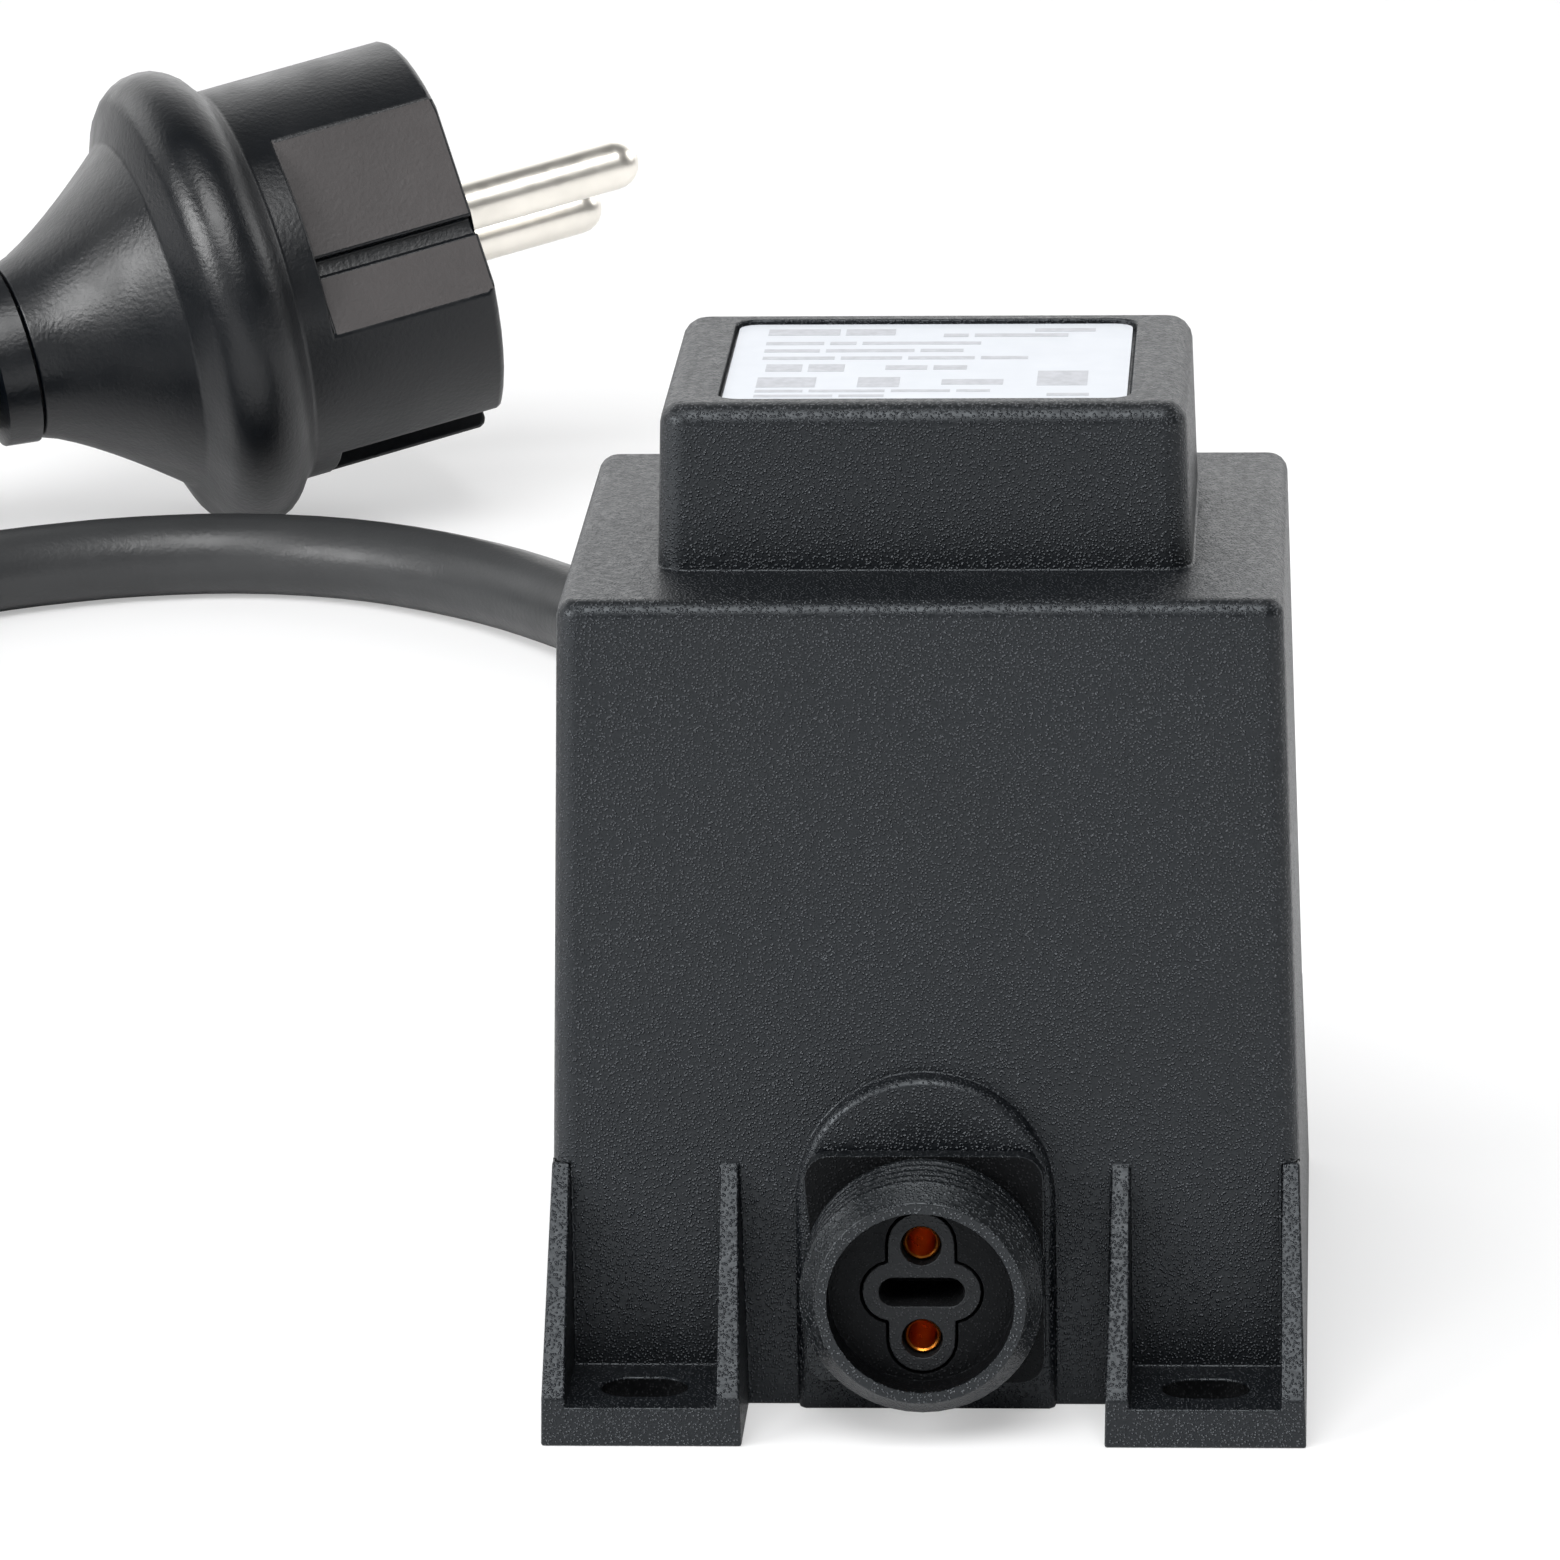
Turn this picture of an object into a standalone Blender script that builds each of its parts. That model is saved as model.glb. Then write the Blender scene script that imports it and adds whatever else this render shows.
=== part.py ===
"""A plug-in outdoor low-voltage transformer: a potted moulded housing on four screw feet, with a threaded
two-pole output socket low on its front and a mains lead with a moulded plug at its rear.

Metres, +Z up, front towards -Y. The origin is on the ground, under the middle of the housing and its feet.
Depths named with the word "face" are measured from the foot of the housing's front wall, positive to the rear.
"""

import math

import bmesh
import bpy
from mathutils import Vector

# Housing: a drafted box with a narrower head on its shoulder, open underneath
BASE_WIDTH = 0.0540
BASE_DEPTH = 0.0475
SHOULDER_HEIGHT = 0.0588
WALL_DRAFT = 0.0015
BOX_CORNER = 0.0016
SHOULDER_FILLET = 0.0012
HEAD_WIDTH = 0.0380
HEAD_FRONT_SETBACK = 0.0087
HEAD_REAR_SETBACK = 0.0055
HEAD_HEIGHT = 0.0119
HEAD_DRAFT = 0.0004
HEAD_CORNER = 0.0020
HEAD_FILLET = 0.0015
WALL = 0.0020
RECESS_WIDTH = 0.0293
RECESS_DEPTH = 0.0244
RECESS_SINK = 0.0007
RECESS_CORNER = 0.0016
RECESS_FLOOR = 0.0016

# Rating plate in the recess of the head
LABEL_THICKNESS = 0.0003
LABEL_MARGIN = 0.0003
LABEL_GAP = 0.0001

# Four feet, each a shelf between two gussets with an oblong screw hole
FOOT_REACH = 0.0091
FOOT_WIDTH = 0.0142
FOOT_THICKNESS = 0.0029
GUSSET_WIDTH = 0.00175
GUSSET_HEIGHT = 0.0180
GUSSET_TIP = 0.0006
FOOT_HOLE_LENGTH = 0.0062
FOOT_HOLE_WIDTH = 0.0041

# Arched boss, output socket and contacts
AXIS_HEIGHT = 0.0110
ARCH_RADIUS = 0.00915
ARCH_TOP = 0.02465
ARCH_STAND = 0.0010
ARCH_EDGE = 0.0004
FIT_GAP = 0.0003
FLANGE_SIDE = 0.0170
FLANGE_THICKNESS = 0.0013
FLANGE_CORNER = 0.0018
COLLAR_LENGTH = 0.0074
THREAD_RADIUS = 0.0086
THREAD_DEPTH = 0.00038
THREAD_PITCH = 0.00115
THREAD_TURNS = 5
COLLAR_NOSE = 0.0074
NOSE_CHAMFER = 0.0011
BORE_RADIUS = 0.0066
BORE_DEPTH = 0.0025
NECK_RADIUS = 0.0064
NECK_INSIDE = 0.0012
CARRIER_HALF_WIDTH = 0.0042
CARRIER_HALF_HEIGHT = 0.0059
CARRIER_ARM = 0.00218
CARRIER_POST = 0.00235
CARRIER_GAP = 0.00018
CARRIER_STICKOUT = 0.0007
CONTACT_SPREAD = 0.00345
CONTACT_HOLE = 0.00143
CONTACT_SINK = 0.0008
SLEEVE_RADIUS = 0.0013
SLEEVE_BORE = 0.00105
SLEEVE_DEPTH = 0.0060
SLEEVE_TAIL = 0.0009
KEY_SLOT_LENGTH = 0.00605
KEY_SLOT_WIDTH = 0.0021
KEY_SLOT_DEPTH = 0.0055

# Transformer: E and I laminations standing on their side, with a two-section bobbin along X
CORE_JOINT = 0.0003
CORE_LIFT = 0.0075
CORE_HEADROOM = 0.0013
CORE_SIDE_ROOM = 0.01175
BOBBIN_WALL = 0.00085
WINDING_CORNER = 0.0030
TAPE_THICKNESS = 0.0004
FUSE_RADIUS = 0.0017
FUSE_LENGTH = 0.0090
LEAD_RADIUS = 0.0008

# Potting resin round the transformer
RESIN_RISE = 0.0010
RESIN_HEADROOM = 0.0028
RESIN_SIDE = 0.0041
RESIN_END = 0.00365
POCKET_SIDE_GAP = 0.0006
RESIN_FLOOR = 0.0062

# Strain relief at the rear, on the same axis height as the socket
RELIEF_NECK = 0.0044
RELIEF_HEAD = 0.0060
RELIEF_HEAD_LENGTH = 0.0028
RELIEF_COLLAR = 0.0072
RELIEF_COLLAR_LENGTH = 0.0026
RELIEF_ROOT = 0.0062
RELIEF_TIP = 0.0049
RELIEF_LENGTH = 0.0290
RELIEF_RIBS = 6
RELIEF_GROOVE = 0.0006

# Mains lead: its route on the ground, a coil of the spare length, and the tie round the coil
CORD_RADIUS = 0.00385
CORD_STEP = 0.0160
CORD_LIFT = 0.00006
COIL_CENTRE = (-0.1780, 0.1680)
COIL_INNER = 0.0310
COIL_PITCH = 0.0079
COIL_LAYER_TURNS = 2.458
COIL_LIFT = 0.0010
COIL_SLACK = 0.00015
COIL_SIDE_GAP = 0.0009
COIL_LEAVING_ANGLE = 92
TIE_THICKNESS = 0.0007
TIE_WIDTH = 0.0080
TIE_ANGLE = math.radians(180)

# Moulded plug: a round front with two guide flats and two clip channels, a round flange, a tapered grip
PLUG_FACE = (-0.0582, 0.2628)
PLUG_HEADING = math.radians(21.8)
PLUG_TILT = math.radians(10.8)
PLUG_ROLL = math.radians(25.5)
PLUG_RADIUS = 0.0194
PLUG_FRONT_LENGTH = 0.0195
PLUG_EDGE = 0.0008
PLUG_FLANGE_RADIUS = 0.0227
PLUG_FLANGE_PLACE = 0.0244
PLUG_FLANGE_ROUND = 0.0046
PLUG_GRIP_ROOT = 0.0172
PLUG_GRIP_START = 0.0297
PLUG_GRIP_END = 0.0430
PLUG_GRIP_FALL = 1.28
PLUG_NECK_RADIUS = 0.0085
PLUG_FLAT_INSET = 0.0028
PLUG_GROOVE_WIDTH = 0.0017
PLUG_GROOVE_SHIFT = 0.0030
PLUG_GROOVE_DEPTH = 0.0011
PLUG_CLIP_WIDTH = 0.0085
PLUG_CLIP_DEPTH = 0.0022
PLUG_CUT_LENGTH = 0.0165
BRIDGE_RADIUS = 0.0152
BRIDGE_THICKNESS = 0.0022
BRIDGE_SINK = 0.0004
BOOT_LENGTH = 0.0290
BOOT_ROOT = 0.0088
BOOT_TIP = 0.0052
BOOT_RIBS = 5
BOOT_GROOVE = 0.0014
PIN_RADIUS = 0.0024
PIN_LENGTH = 0.0190
PIN_SPREAD = 0.0095
PIN_ROOT = 0.0060

# Places that follow from the sizes above
HEAD_TOP = SHOULDER_HEIGHT + HEAD_HEIGHT
SOCKET_REACH = ARCH_STAND + FIT_GAP + FLANGE_THICKNESS + COLLAR_LENGTH
FACE_Y = (SOCKET_REACH - BASE_DEPTH - FOOT_REACH) / 2
POCKET_HALF_WIDTH = BASE_WIDTH / 2 - WALL - RESIN_SIDE
POCKET_HALF_DEPTH = BASE_DEPTH / 2 - WALL - RESIN_END
RESIN_TOP = SHOULDER_HEIGHT - WALL - RESIN_HEADROOM
CORE_HALF_WIDTH = POCKET_HALF_WIDTH - POCKET_SIDE_GAP - CORE_JOINT
CORE_BACK = CORE_HALF_WIDTH * 0.4
CORE_WINDOW = CORE_HALF_WIDTH * 1.2
CORE_HEIGHT = SHOULDER_HEIGHT - WALL - CORE_LIFT - CORE_HEADROOM
CORE_LEG = CORE_HEIGHT / 6
CORE_STACK = BASE_DEPTH - 2 * (WALL + CORE_SIDE_ROOM)
WINDING_BUILD = CORE_LEG * 0.6
BOBBIN_FLANGE_DEPTH = POCKET_HALF_DEPTH - FIT_GAP
ROUND_STEPS = 48


def at_face(x, depth, z):
    """The point that is so deep behind the foot of the front wall."""
    return Vector((x, FACE_Y + depth, z))


def material(name, colour, roughness, metallic=0.0):
    made = bpy.data.materials.new(name)
    made.use_nodes = True
    shader = made.node_tree.nodes["Principled BSDF"]
    shader.inputs["Base Color"].default_value = (*colour, 1.0)
    shader.inputs["Roughness"].default_value = roughness
    shader.inputs["Metallic"].default_value = metallic
    return made


def add_mesh(name, points, faces, finish):
    """A closed solid from points and faces, with its normals outside, smooth on its round stretches."""
    mesh = bpy.data.meshes.new(name)
    mesh.from_pydata([tuple(p) for p in points], [], faces)
    work = bmesh.new()
    work.from_mesh(mesh)
    bmesh.ops.recalc_face_normals(work, faces=work.faces)
    work.to_mesh(mesh)
    work.free()
    mesh.shade_smooth()
    mesh.set_sharp_from_angle(angle=math.radians(35))
    if finish:
        mesh.materials.append(finish)
    made = bpy.data.objects.new(name, mesh)
    bpy.context.scene.collection.objects.link(made)
    return made


def loft(name, loops, finish, closed=False):
    """Loops of equal count joined by sides. The ends are capped, or joined to each other when closed."""
    count = len(loops[0])
    points = [p for loop in loops for p in loop]
    faces = []
    spans = len(loops) if closed else len(loops) - 1
    for i in range(spans):
        a, b = i * count, (i + 1) % len(loops) * count
        for k in range(count):
            n = (k + 1) % count
            faces.append((a + k, a + n, b + n, b + k))
    if not closed:
        last = (len(loops) - 1) * count
        faces.append(tuple(reversed(range(count))))
        faces.append(tuple(range(last, last + count)))
    return add_mesh(name, points, faces, finish)


def turned(name, profile, base, axis, finish, steps=ROUND_STEPS, hollow=False, start=0.0):
    """A profile of (distance along the axis, radius) turned about the axis through base."""
    axis = Vector(axis).normalized()
    side = axis.orthogonal().normalized()
    other = axis.cross(side)
    loops = []
    for along, radius in profile:
        middle = Vector(base) + axis * along
        turns = (start + 2 * math.pi * k / steps for k in range(steps))
        loops.append([middle + radius * (math.cos(t) * side + math.sin(t) * other) for t in turns])
    return loft(name, loops, finish, closed=hollow)


def prism(name, outline, place, first, last, finish=None):
    """An outline of (u, v) carried from first to last. place(u, v, w) gives the point."""
    return loft(name, [[place(u, v, w) for u, v in outline] for w in (first, last)], finish)


def arc(cx, cy, radius, start, stop, pieces):
    """Points of a circular arc, ends included, with its angles in degrees."""
    angles = (math.radians(start + (stop - start) * k / pieces) for k in range(pieces + 1))
    return [(cx + radius * math.cos(a), cy + radius * math.sin(a)) for a in angles]


def rounded_rectangle(half_u, half_v, radius, pieces=4):
    corners = ((1, 1, 0), (-1, 1, 90), (-1, -1, 180), (1, -1, 270))
    outline = []
    for su, sv, turn in corners:
        outline += arc(su * (half_u - radius), sv * (half_v - radius), radius, turn, turn + 90, pieces)
    return outline


def stadium(length, width, pieces=10):
    """A slot with round ends, long in u."""
    radius = width / 2
    run = length / 2 - radius
    return arc(run, 0, radius, -90, 90, pieces) + arc(-run, 0, radius, 90, 270, pieces)


def boolean(target, tool, operation):
    """Joins a tool to a target or cuts it out. The tool itself is left out of the model."""
    step = target.modifiers.new(tool.name, "BOOLEAN")
    step.operation = operation
    step.object = tool
    step.solver = "EXACT"
    tool.hide_render = True
    tool.display_type = "WIRE"


def wall_inset(z):
    """How far the drafted outer wall has come in at a height."""
    return WALL_DRAFT * z / SHOULDER_HEIGHT


def drafted_block(name, half_x, half_y, centre_y, low, high, draft, corner, fillet=0.0, finish=None):
    """A block whose four walls lean in by draft over its height, with a rounded upper edge."""
    stations = [(low, 0.0)]
    if fillet:
        for k in range(5):
            turn = math.pi / 2 * k / 4
            stations.append((high - fillet + fillet * math.sin(turn), fillet * (1 - math.cos(turn))))
    else:
        stations.append((high, 0.0))
    loops = []
    for z, rounding in stations:
        inset = draft * (z - low) / (high - low) + rounding
        radius = max(corner - rounding, corner / 4)
        outline = rounded_rectangle(half_x - inset, half_y - inset, radius)
        loops.append([Vector((x, centre_y + y, z)) for x, y in outline])
    return loft(name, loops, finish)


def box_y():
    """The Y of the middle of the lower box."""
    return FACE_Y + BASE_DEPTH / 2


def head_limits():
    """The Y of the front and the rear foot of the head."""
    front = FACE_Y + WALL_DRAFT + HEAD_FRONT_SETBACK
    rear = FACE_Y + BASE_DEPTH - WALL_DRAFT - HEAD_REAR_SETBACK
    return front, rear


def head_block(name, inset, low, high, corner, fillet=0.0):
    front, rear = head_limits()
    return drafted_block(
        name,
        HEAD_WIDTH / 2 - inset,
        (rear - front) / 2 - inset,
        (front + rear) / 2,
        low,
        high,
        HEAD_DRAFT,
        corner,
        fillet,
    )


def foot_outline():
    """The side view of a foot and its gusset: (distance out from the wall's foot, height)."""
    into_wall = -(wall_inset(GUSSET_HEIGHT) + WALL / 2)
    return [
        (into_wall, 0.0),
        (FOOT_REACH, 0.0),
        (FOOT_REACH, FOOT_THICKNESS + GUSSET_TIP),
        (-wall_inset(GUSSET_HEIGHT), GUSSET_HEIGHT),
        (into_wall, GUSSET_HEIGHT),
    ]


def foot_y(end, out):
    """The Y of a distance out from the front wall (end -1) or the rear wall (end +1)."""
    return box_y() + end * (BASE_DEPTH / 2 + out)


def add_feet(housing):
    inner = BASE_WIDTH / 2 - FOOT_WIDTH
    for end, end_name in ((-1, "front"), (1, "rear")):
        for side, side_name in ((-1, "left"), (1, "right")):
            name = f"{end_name}_{side_name}_foot"
            loops = []
            for edge, lean in ((inner, 1), (BASE_WIDTH / 2, -1)):
                loops.append(
                    [
                        Vector((side * (edge + lean * wall_inset(z)), foot_y(end, out), z))
                        for out, z in foot_outline()
                    ]
                )
            foot = loft(name, loops, None)
            pocket = prism(
                f"{name}_pocket",
                [(-wall_inset(GUSSET_HEIGHT) - WALL, FOOT_THICKNESS), (FOOT_REACH * 2, FOOT_THICKNESS),
                 (FOOT_REACH * 2, GUSSET_HEIGHT * 2), (-wall_inset(GUSSET_HEIGHT) - WALL, GUSSET_HEIGHT * 2)],
                lambda out, z, x, side=side, end=end: Vector((side * x, foot_y(end, out), z)),
                inner + GUSSET_WIDTH,
                BASE_WIDTH / 2 - GUSSET_WIDTH,
            )
            boolean(foot, pocket, "DIFFERENCE")
            middle_x = side * (BASE_WIDTH - FOOT_WIDTH) / 2
            middle_y = foot_y(end, FOOT_REACH / 2)
            hole = prism(
                f"{name}_hole",
                stadium(FOOT_HOLE_LENGTH, FOOT_HOLE_WIDTH),
                lambda x, y, z, mx=middle_x, my=middle_y: Vector((mx + x, my + y, z)),
                -FOOT_THICKNESS,
                FOOT_THICKNESS * 2,
            )
            boolean(foot, hole, "DIFFERENCE")
            boolean(housing, foot, "UNION")


def arch_outline(radius):
    """The arched boss seen from the front: (x, z), round above and straight down to the ground."""
    centre = ARCH_TOP - ARCH_RADIUS
    return arc(0, centre, radius, 0, 180, 24) + [(-radius, 0.0), (radius, 0.0)]


def add_arch(housing):
    deep = WALL_DRAFT * ARCH_TOP / SHOULDER_HEIGHT + WALL / 2
    stations = (
        (deep, ARCH_RADIUS),
        (ARCH_EDGE - ARCH_STAND, ARCH_RADIUS),
        (-ARCH_STAND, ARCH_RADIUS - ARCH_EDGE),
    )
    loops = [[at_face(x, depth, z) for x, z in arch_outline(radius)] for depth, radius in stations]
    boolean(housing, loft("arched_boss", loops, None), "UNION")


def round_cutter(name, radius, depth_from, depth_to):
    """A cylinder along Y on the height of the socket and the strain relief."""
    base = at_face(0, depth_from, AXIS_HEIGHT)
    return turned(name, [(0, radius), (depth_to - depth_from, radius)], base, (0, 1, 0), None)


def make_housing(finish):
    housing = drafted_block(
        "housing",
        BASE_WIDTH / 2,
        BASE_DEPTH / 2,
        box_y(),
        0.0,
        SHOULDER_HEIGHT,
        WALL_DRAFT,
        BOX_CORNER,
        SHOULDER_FILLET,
        finish,
    )
    boolean(housing, head_block("head", 0.0, SHOULDER_HEIGHT - WALL / 2, HEAD_TOP, HEAD_CORNER, HEAD_FILLET), "UNION")
    add_feet(housing)
    add_arch(housing)
    below = WALL
    cavity = drafted_block(
        "cavity",
        BASE_WIDTH / 2 - WALL + WALL_DRAFT * below / SHOULDER_HEIGHT,
        BASE_DEPTH / 2 - WALL + WALL_DRAFT * below / SHOULDER_HEIGHT,
        box_y(),
        -below,
        SHOULDER_HEIGHT - WALL,
        WALL_DRAFT,
        BOX_CORNER / 2,
    )
    boolean(housing, cavity, "DIFFERENCE")
    head_roof = HEAD_TOP - RECESS_SINK - RECESS_FLOOR
    head_hollow = head_block("head_hollow", WALL, SHOULDER_HEIGHT - 2 * WALL, head_roof, HEAD_CORNER / 2)
    boolean(housing, head_hollow, "DIFFERENCE")
    front, rear = head_limits()
    recess = prism(
        "label_recess",
        rounded_rectangle(RECESS_WIDTH / 2, RECESS_DEPTH / 2, RECESS_CORNER),
        lambda x, y, z: Vector((x, (front + rear) / 2 + y, z)),
        HEAD_TOP - RECESS_SINK,
        HEAD_TOP + RECESS_SINK,
    )
    boolean(housing, recess, "DIFFERENCE")
    boolean(housing, round_cutter("socket_hole", NECK_RADIUS + FIT_GAP, -2 * ARCH_STAND, 2 * WALL), "DIFFERENCE")
    relief_hole = round_cutter(
        "relief_hole", RELIEF_NECK + FIT_GAP, BASE_DEPTH - 2 * WALL, BASE_DEPTH + WALL
    )
    boolean(housing, relief_hole, "DIFFERENCE")
    return housing


def make_label(finish):
    front, rear = head_limits()
    seat = HEAD_TOP - RECESS_SINK + LABEL_GAP
    outline = rounded_rectangle(
        RECESS_WIDTH / 2 - LABEL_MARGIN, RECESS_DEPTH / 2 - LABEL_MARGIN, RECESS_CORNER - LABEL_MARGIN
    )
    return prism(
        "rating_label",
        outline,
        lambda x, y, z: Vector((x, (front + rear) / 2 + y, z)),
        seat,
        seat + LABEL_THICKNESS,
        finish,
    )


def socket_depths():
    """Depths of the flange's back and front, the collar's front rim and the inner face."""
    back = -(ARCH_STAND + FIT_GAP)
    front = back - FLANGE_THICKNESS
    rim = front - COLLAR_LENGTH
    return back, front, rim, rim + BORE_DEPTH


def thread_profile(front):
    """Ridges round the collar, from the flange forward: (depth, radius)."""
    root = THREAD_RADIUS - THREAD_DEPTH
    profile = [(front, root)]
    first = front - (COLLAR_LENGTH - NOSE_CHAMFER - THREAD_TURNS * THREAD_PITCH)
    for turn in range(THREAD_TURNS):
        start = first - turn * THREAD_PITCH
        profile += [
            (start, root),
            (start - 0.35 * THREAD_PITCH, THREAD_RADIUS),
            (start - 0.65 * THREAD_PITCH, THREAD_RADIUS),
        ]
    profile.append((first - THREAD_TURNS * THREAD_PITCH, root))
    return profile


def carrier_outline(grow=0.0):
    """The cross-shaped face of the contact carrier: (x, z) about the socket's axis."""
    arm, post = CARRIER_ARM + grow, CARRIER_POST + grow
    reach_x, reach_z = CARRIER_HALF_WIDTH + grow, CARRIER_HALF_HEIGHT + grow
    centre_x, centre_z = reach_x - arm, reach_z - post
    meet = math.degrees(math.acos(max(-1.0, min(1.0, (post - centre_x) / arm))))
    outline = []
    outline += arc(centre_x, 0, arm, -meet, meet, 10)
    outline += arc(0, centre_z, post, 0, 180, 12)
    outline += arc(-centre_x, 0, arm, 180 - meet, 180 + meet, 10)
    outline += arc(0, -centre_z, post, 180, 360, 12)
    return outline


def on_axis(x, z, depth):
    """A point beside the socket's axis, at a depth."""
    return at_face(x, depth, AXIS_HEIGHT + z)


def make_socket(finish):
    back, front, rim, inner = socket_depths()
    inside = WALL + wall_inset(AXIS_HEIGHT) + NECK_INSIDE
    half = FLANGE_SIDE / 2
    base = at_face(0, 0, AXIS_HEIGHT)
    profile = [(inner, BORE_RADIUS), (rim, BORE_RADIUS), (rim, COLLAR_NOSE)]
    profile += [(depth, radius) for depth, radius in reversed(thread_profile(front))]
    overlap = FLANGE_THICKNESS / 2
    profile += [(front + overlap, THREAD_RADIUS - THREAD_DEPTH), (front + overlap, NECK_RADIUS), (inside, NECK_RADIUS)]
    socket = turned("socket_body", profile, base, (0, 1, 0), finish)
    flange = prism("flange", rounded_rectangle(half, half, FLANGE_CORNER), on_axis, back, front)
    boolean(socket, flange, "UNION")
    opening = prism("carrier_opening", carrier_outline(CARRIER_GAP), on_axis, rim, inside + WALL)
    boolean(socket, opening, "DIFFERENCE")
    return socket


def make_carrier(finish):
    inner = socket_depths()[3]
    inside = WALL + wall_inset(AXIS_HEIGHT) + NECK_INSIDE + CARRIER_STICKOUT
    carrier = prism("contact_carrier", carrier_outline(), on_axis, inner, inside, finish)
    slot = prism(
        "key_slot", stadium(KEY_SLOT_LENGTH, KEY_SLOT_WIDTH), on_axis, inner - BORE_DEPTH, inner + KEY_SLOT_DEPTH
    )
    boolean(carrier, slot, "DIFFERENCE")
    for side in (1, -1):
        base = on_axis(0, side * CONTACT_SPREAD, inner - BORE_DEPTH)
        run = inside - inner + 2 * BORE_DEPTH
        hole = turned(f"contact_hole_{side}", [(0, CONTACT_HOLE), (run, CONTACT_HOLE)], base, (0, 1, 0), None, 32)
        boolean(carrier, hole, "DIFFERENCE")
    return carrier


def sleeve_depths():
    """Depths of a contact sleeve's mouth and of its solder tail."""
    inner = socket_depths()[3]
    inside = WALL + wall_inset(AXIS_HEIGHT) + NECK_INSIDE + CARRIER_STICKOUT
    return inner + CONTACT_SINK, inside + SLEEVE_TAIL


def make_contacts(finish):
    mouth, tail = sleeve_depths()
    for name, side in (("contact_sleeve_upper", 1), ("contact_sleeve_lower", -1)):
        base = on_axis(0, side * CONTACT_SPREAD, mouth)
        profile = [
            (SLEEVE_DEPTH, SLEEVE_BORE),
            (SLEEVE_DEPTH * 0.02, SLEEVE_BORE),
            (0.0, (SLEEVE_BORE + SLEEVE_RADIUS) / 2),
            (SLEEVE_DEPTH * 0.02, SLEEVE_RADIUS),
            (tail - mouth, SLEEVE_RADIUS),
        ]
        turned(name, profile, base, (0, 1, 0), finish, 24)


def core_middle():
    """The middle of the transformer."""
    return Vector((0.0, box_y(), CORE_LIFT + CORE_HEIGHT / 2))


def core_x(z, x, depth):
    """A point of a lamination: z and x about the core's middle."""
    return core_middle() + Vector((x, depth, z))


def make_core(finish):
    half = CORE_HEIGHT / 2
    stack = CORE_STACK / 2
    window = CORE_WINDOW / 2
    back = window + CORE_BACK
    e_outline = [
        (-half, -back),
        (half, -back),
        (half, window),
        (half - CORE_LEG, window),
        (half - CORE_LEG, -window),
        (CORE_LEG, -window),
        (CORE_LEG, window),
        (-CORE_LEG, window),
        (-CORE_LEG, -window),
        (-half + CORE_LEG, -window),
        (-half + CORE_LEG, window),
        (-half, window),
    ]
    prism("core_e_stack", e_outline, core_x, -stack, stack, finish)
    start = window + CORE_JOINT
    i_outline = [(-half, start), (half, start), (half, start + CORE_BACK), (-half, start + CORE_BACK)]
    prism("core_i_stack", i_outline, core_x, -stack, stack, finish)


def window_height():
    """Half the height of the two windows' outer edges, from the middle of the core."""
    return CORE_HEIGHT / 2 - CORE_LEG


def bobbin_hole():
    """Half height and half depth of the bobbin's tube inside."""
    return CORE_LEG + FIT_GAP, CORE_STACK / 2 + FIT_GAP


def rectangle_loop(x, half_z, half_depth, radius):
    middle = core_middle()
    return [middle + Vector((x, v, u)) for u, v in rounded_rectangle(half_z, half_depth, radius, 3)]


def make_bobbin(finish):
    hole_z, hole_y = bobbin_hole()
    tube_z, tube_y = hole_z + BOBBIN_WALL, hole_y + BOBBIN_WALL
    flange_z = window_height() - FIT_GAP
    flange_y = BOBBIN_FLANGE_DEPTH
    end = CORE_WINDOW / 2 - FIT_GAP
    steps = (
        (-end, flange_z, flange_y),
        (-end + BOBBIN_WALL, flange_z, flange_y),
        (-end + BOBBIN_WALL, tube_z, tube_y),
        (-BOBBIN_WALL / 2, tube_z, tube_y),
        (-BOBBIN_WALL / 2, flange_z, flange_y),
        (BOBBIN_WALL / 2, flange_z, flange_y),
        (BOBBIN_WALL / 2, tube_z, tube_y),
        (end - BOBBIN_WALL, tube_z, tube_y),
        (end - BOBBIN_WALL, flange_z, flange_y),
        (end, flange_z, flange_y),
        (end, hole_z, hole_y),
        (-end, hole_z, hole_y),
    )
    loops = [rectangle_loop(x, z, y, FIT_GAP if z == hole_z else BOBBIN_WALL) for x, z, y in steps]
    loft("bobbin", loops, finish, closed=True)


def winding_span(side):
    """The x limits of a bobbin section, with its gap to the flanges."""
    near = BOBBIN_WALL / 2 + FIT_GAP
    far = CORE_WINDOW / 2 - FIT_GAP - BOBBIN_WALL - FIT_GAP
    return (near, far) if side > 0 else (-far, -near)


def make_winding(name, side, inside, build, corner, finish):
    """A band round the bobbin's tube, so far outside the hole and so thick."""
    hole_z, hole_y = bobbin_hole()
    low, high = winding_span(side)
    inner = (hole_z + inside, hole_y + inside)
    outer = (inner[0] + build, inner[1] + build)
    inner_corner = max(corner - build, BOBBIN_WALL)
    loops = [
        rectangle_loop(low, *inner, inner_corner),
        rectangle_loop(low, *outer, corner),
        rectangle_loop(high, *outer, corner),
        rectangle_loop(high, *inner, inner_corner),
    ]
    loft(name, loops, finish, closed=True)


def make_windings(copper, tape):
    under = BOBBIN_WALL + FIT_GAP
    over = under + WINDING_BUILD + FIT_GAP
    for name, side in (("primary", -1), ("secondary", 1)):
        make_winding(f"{name}_winding", side, under, WINDING_BUILD, WINDING_CORNER, copper)
        make_winding(f"{name}_tape", side, over, TAPE_THICKNESS, WINDING_CORNER + FIT_GAP, tape)


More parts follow.
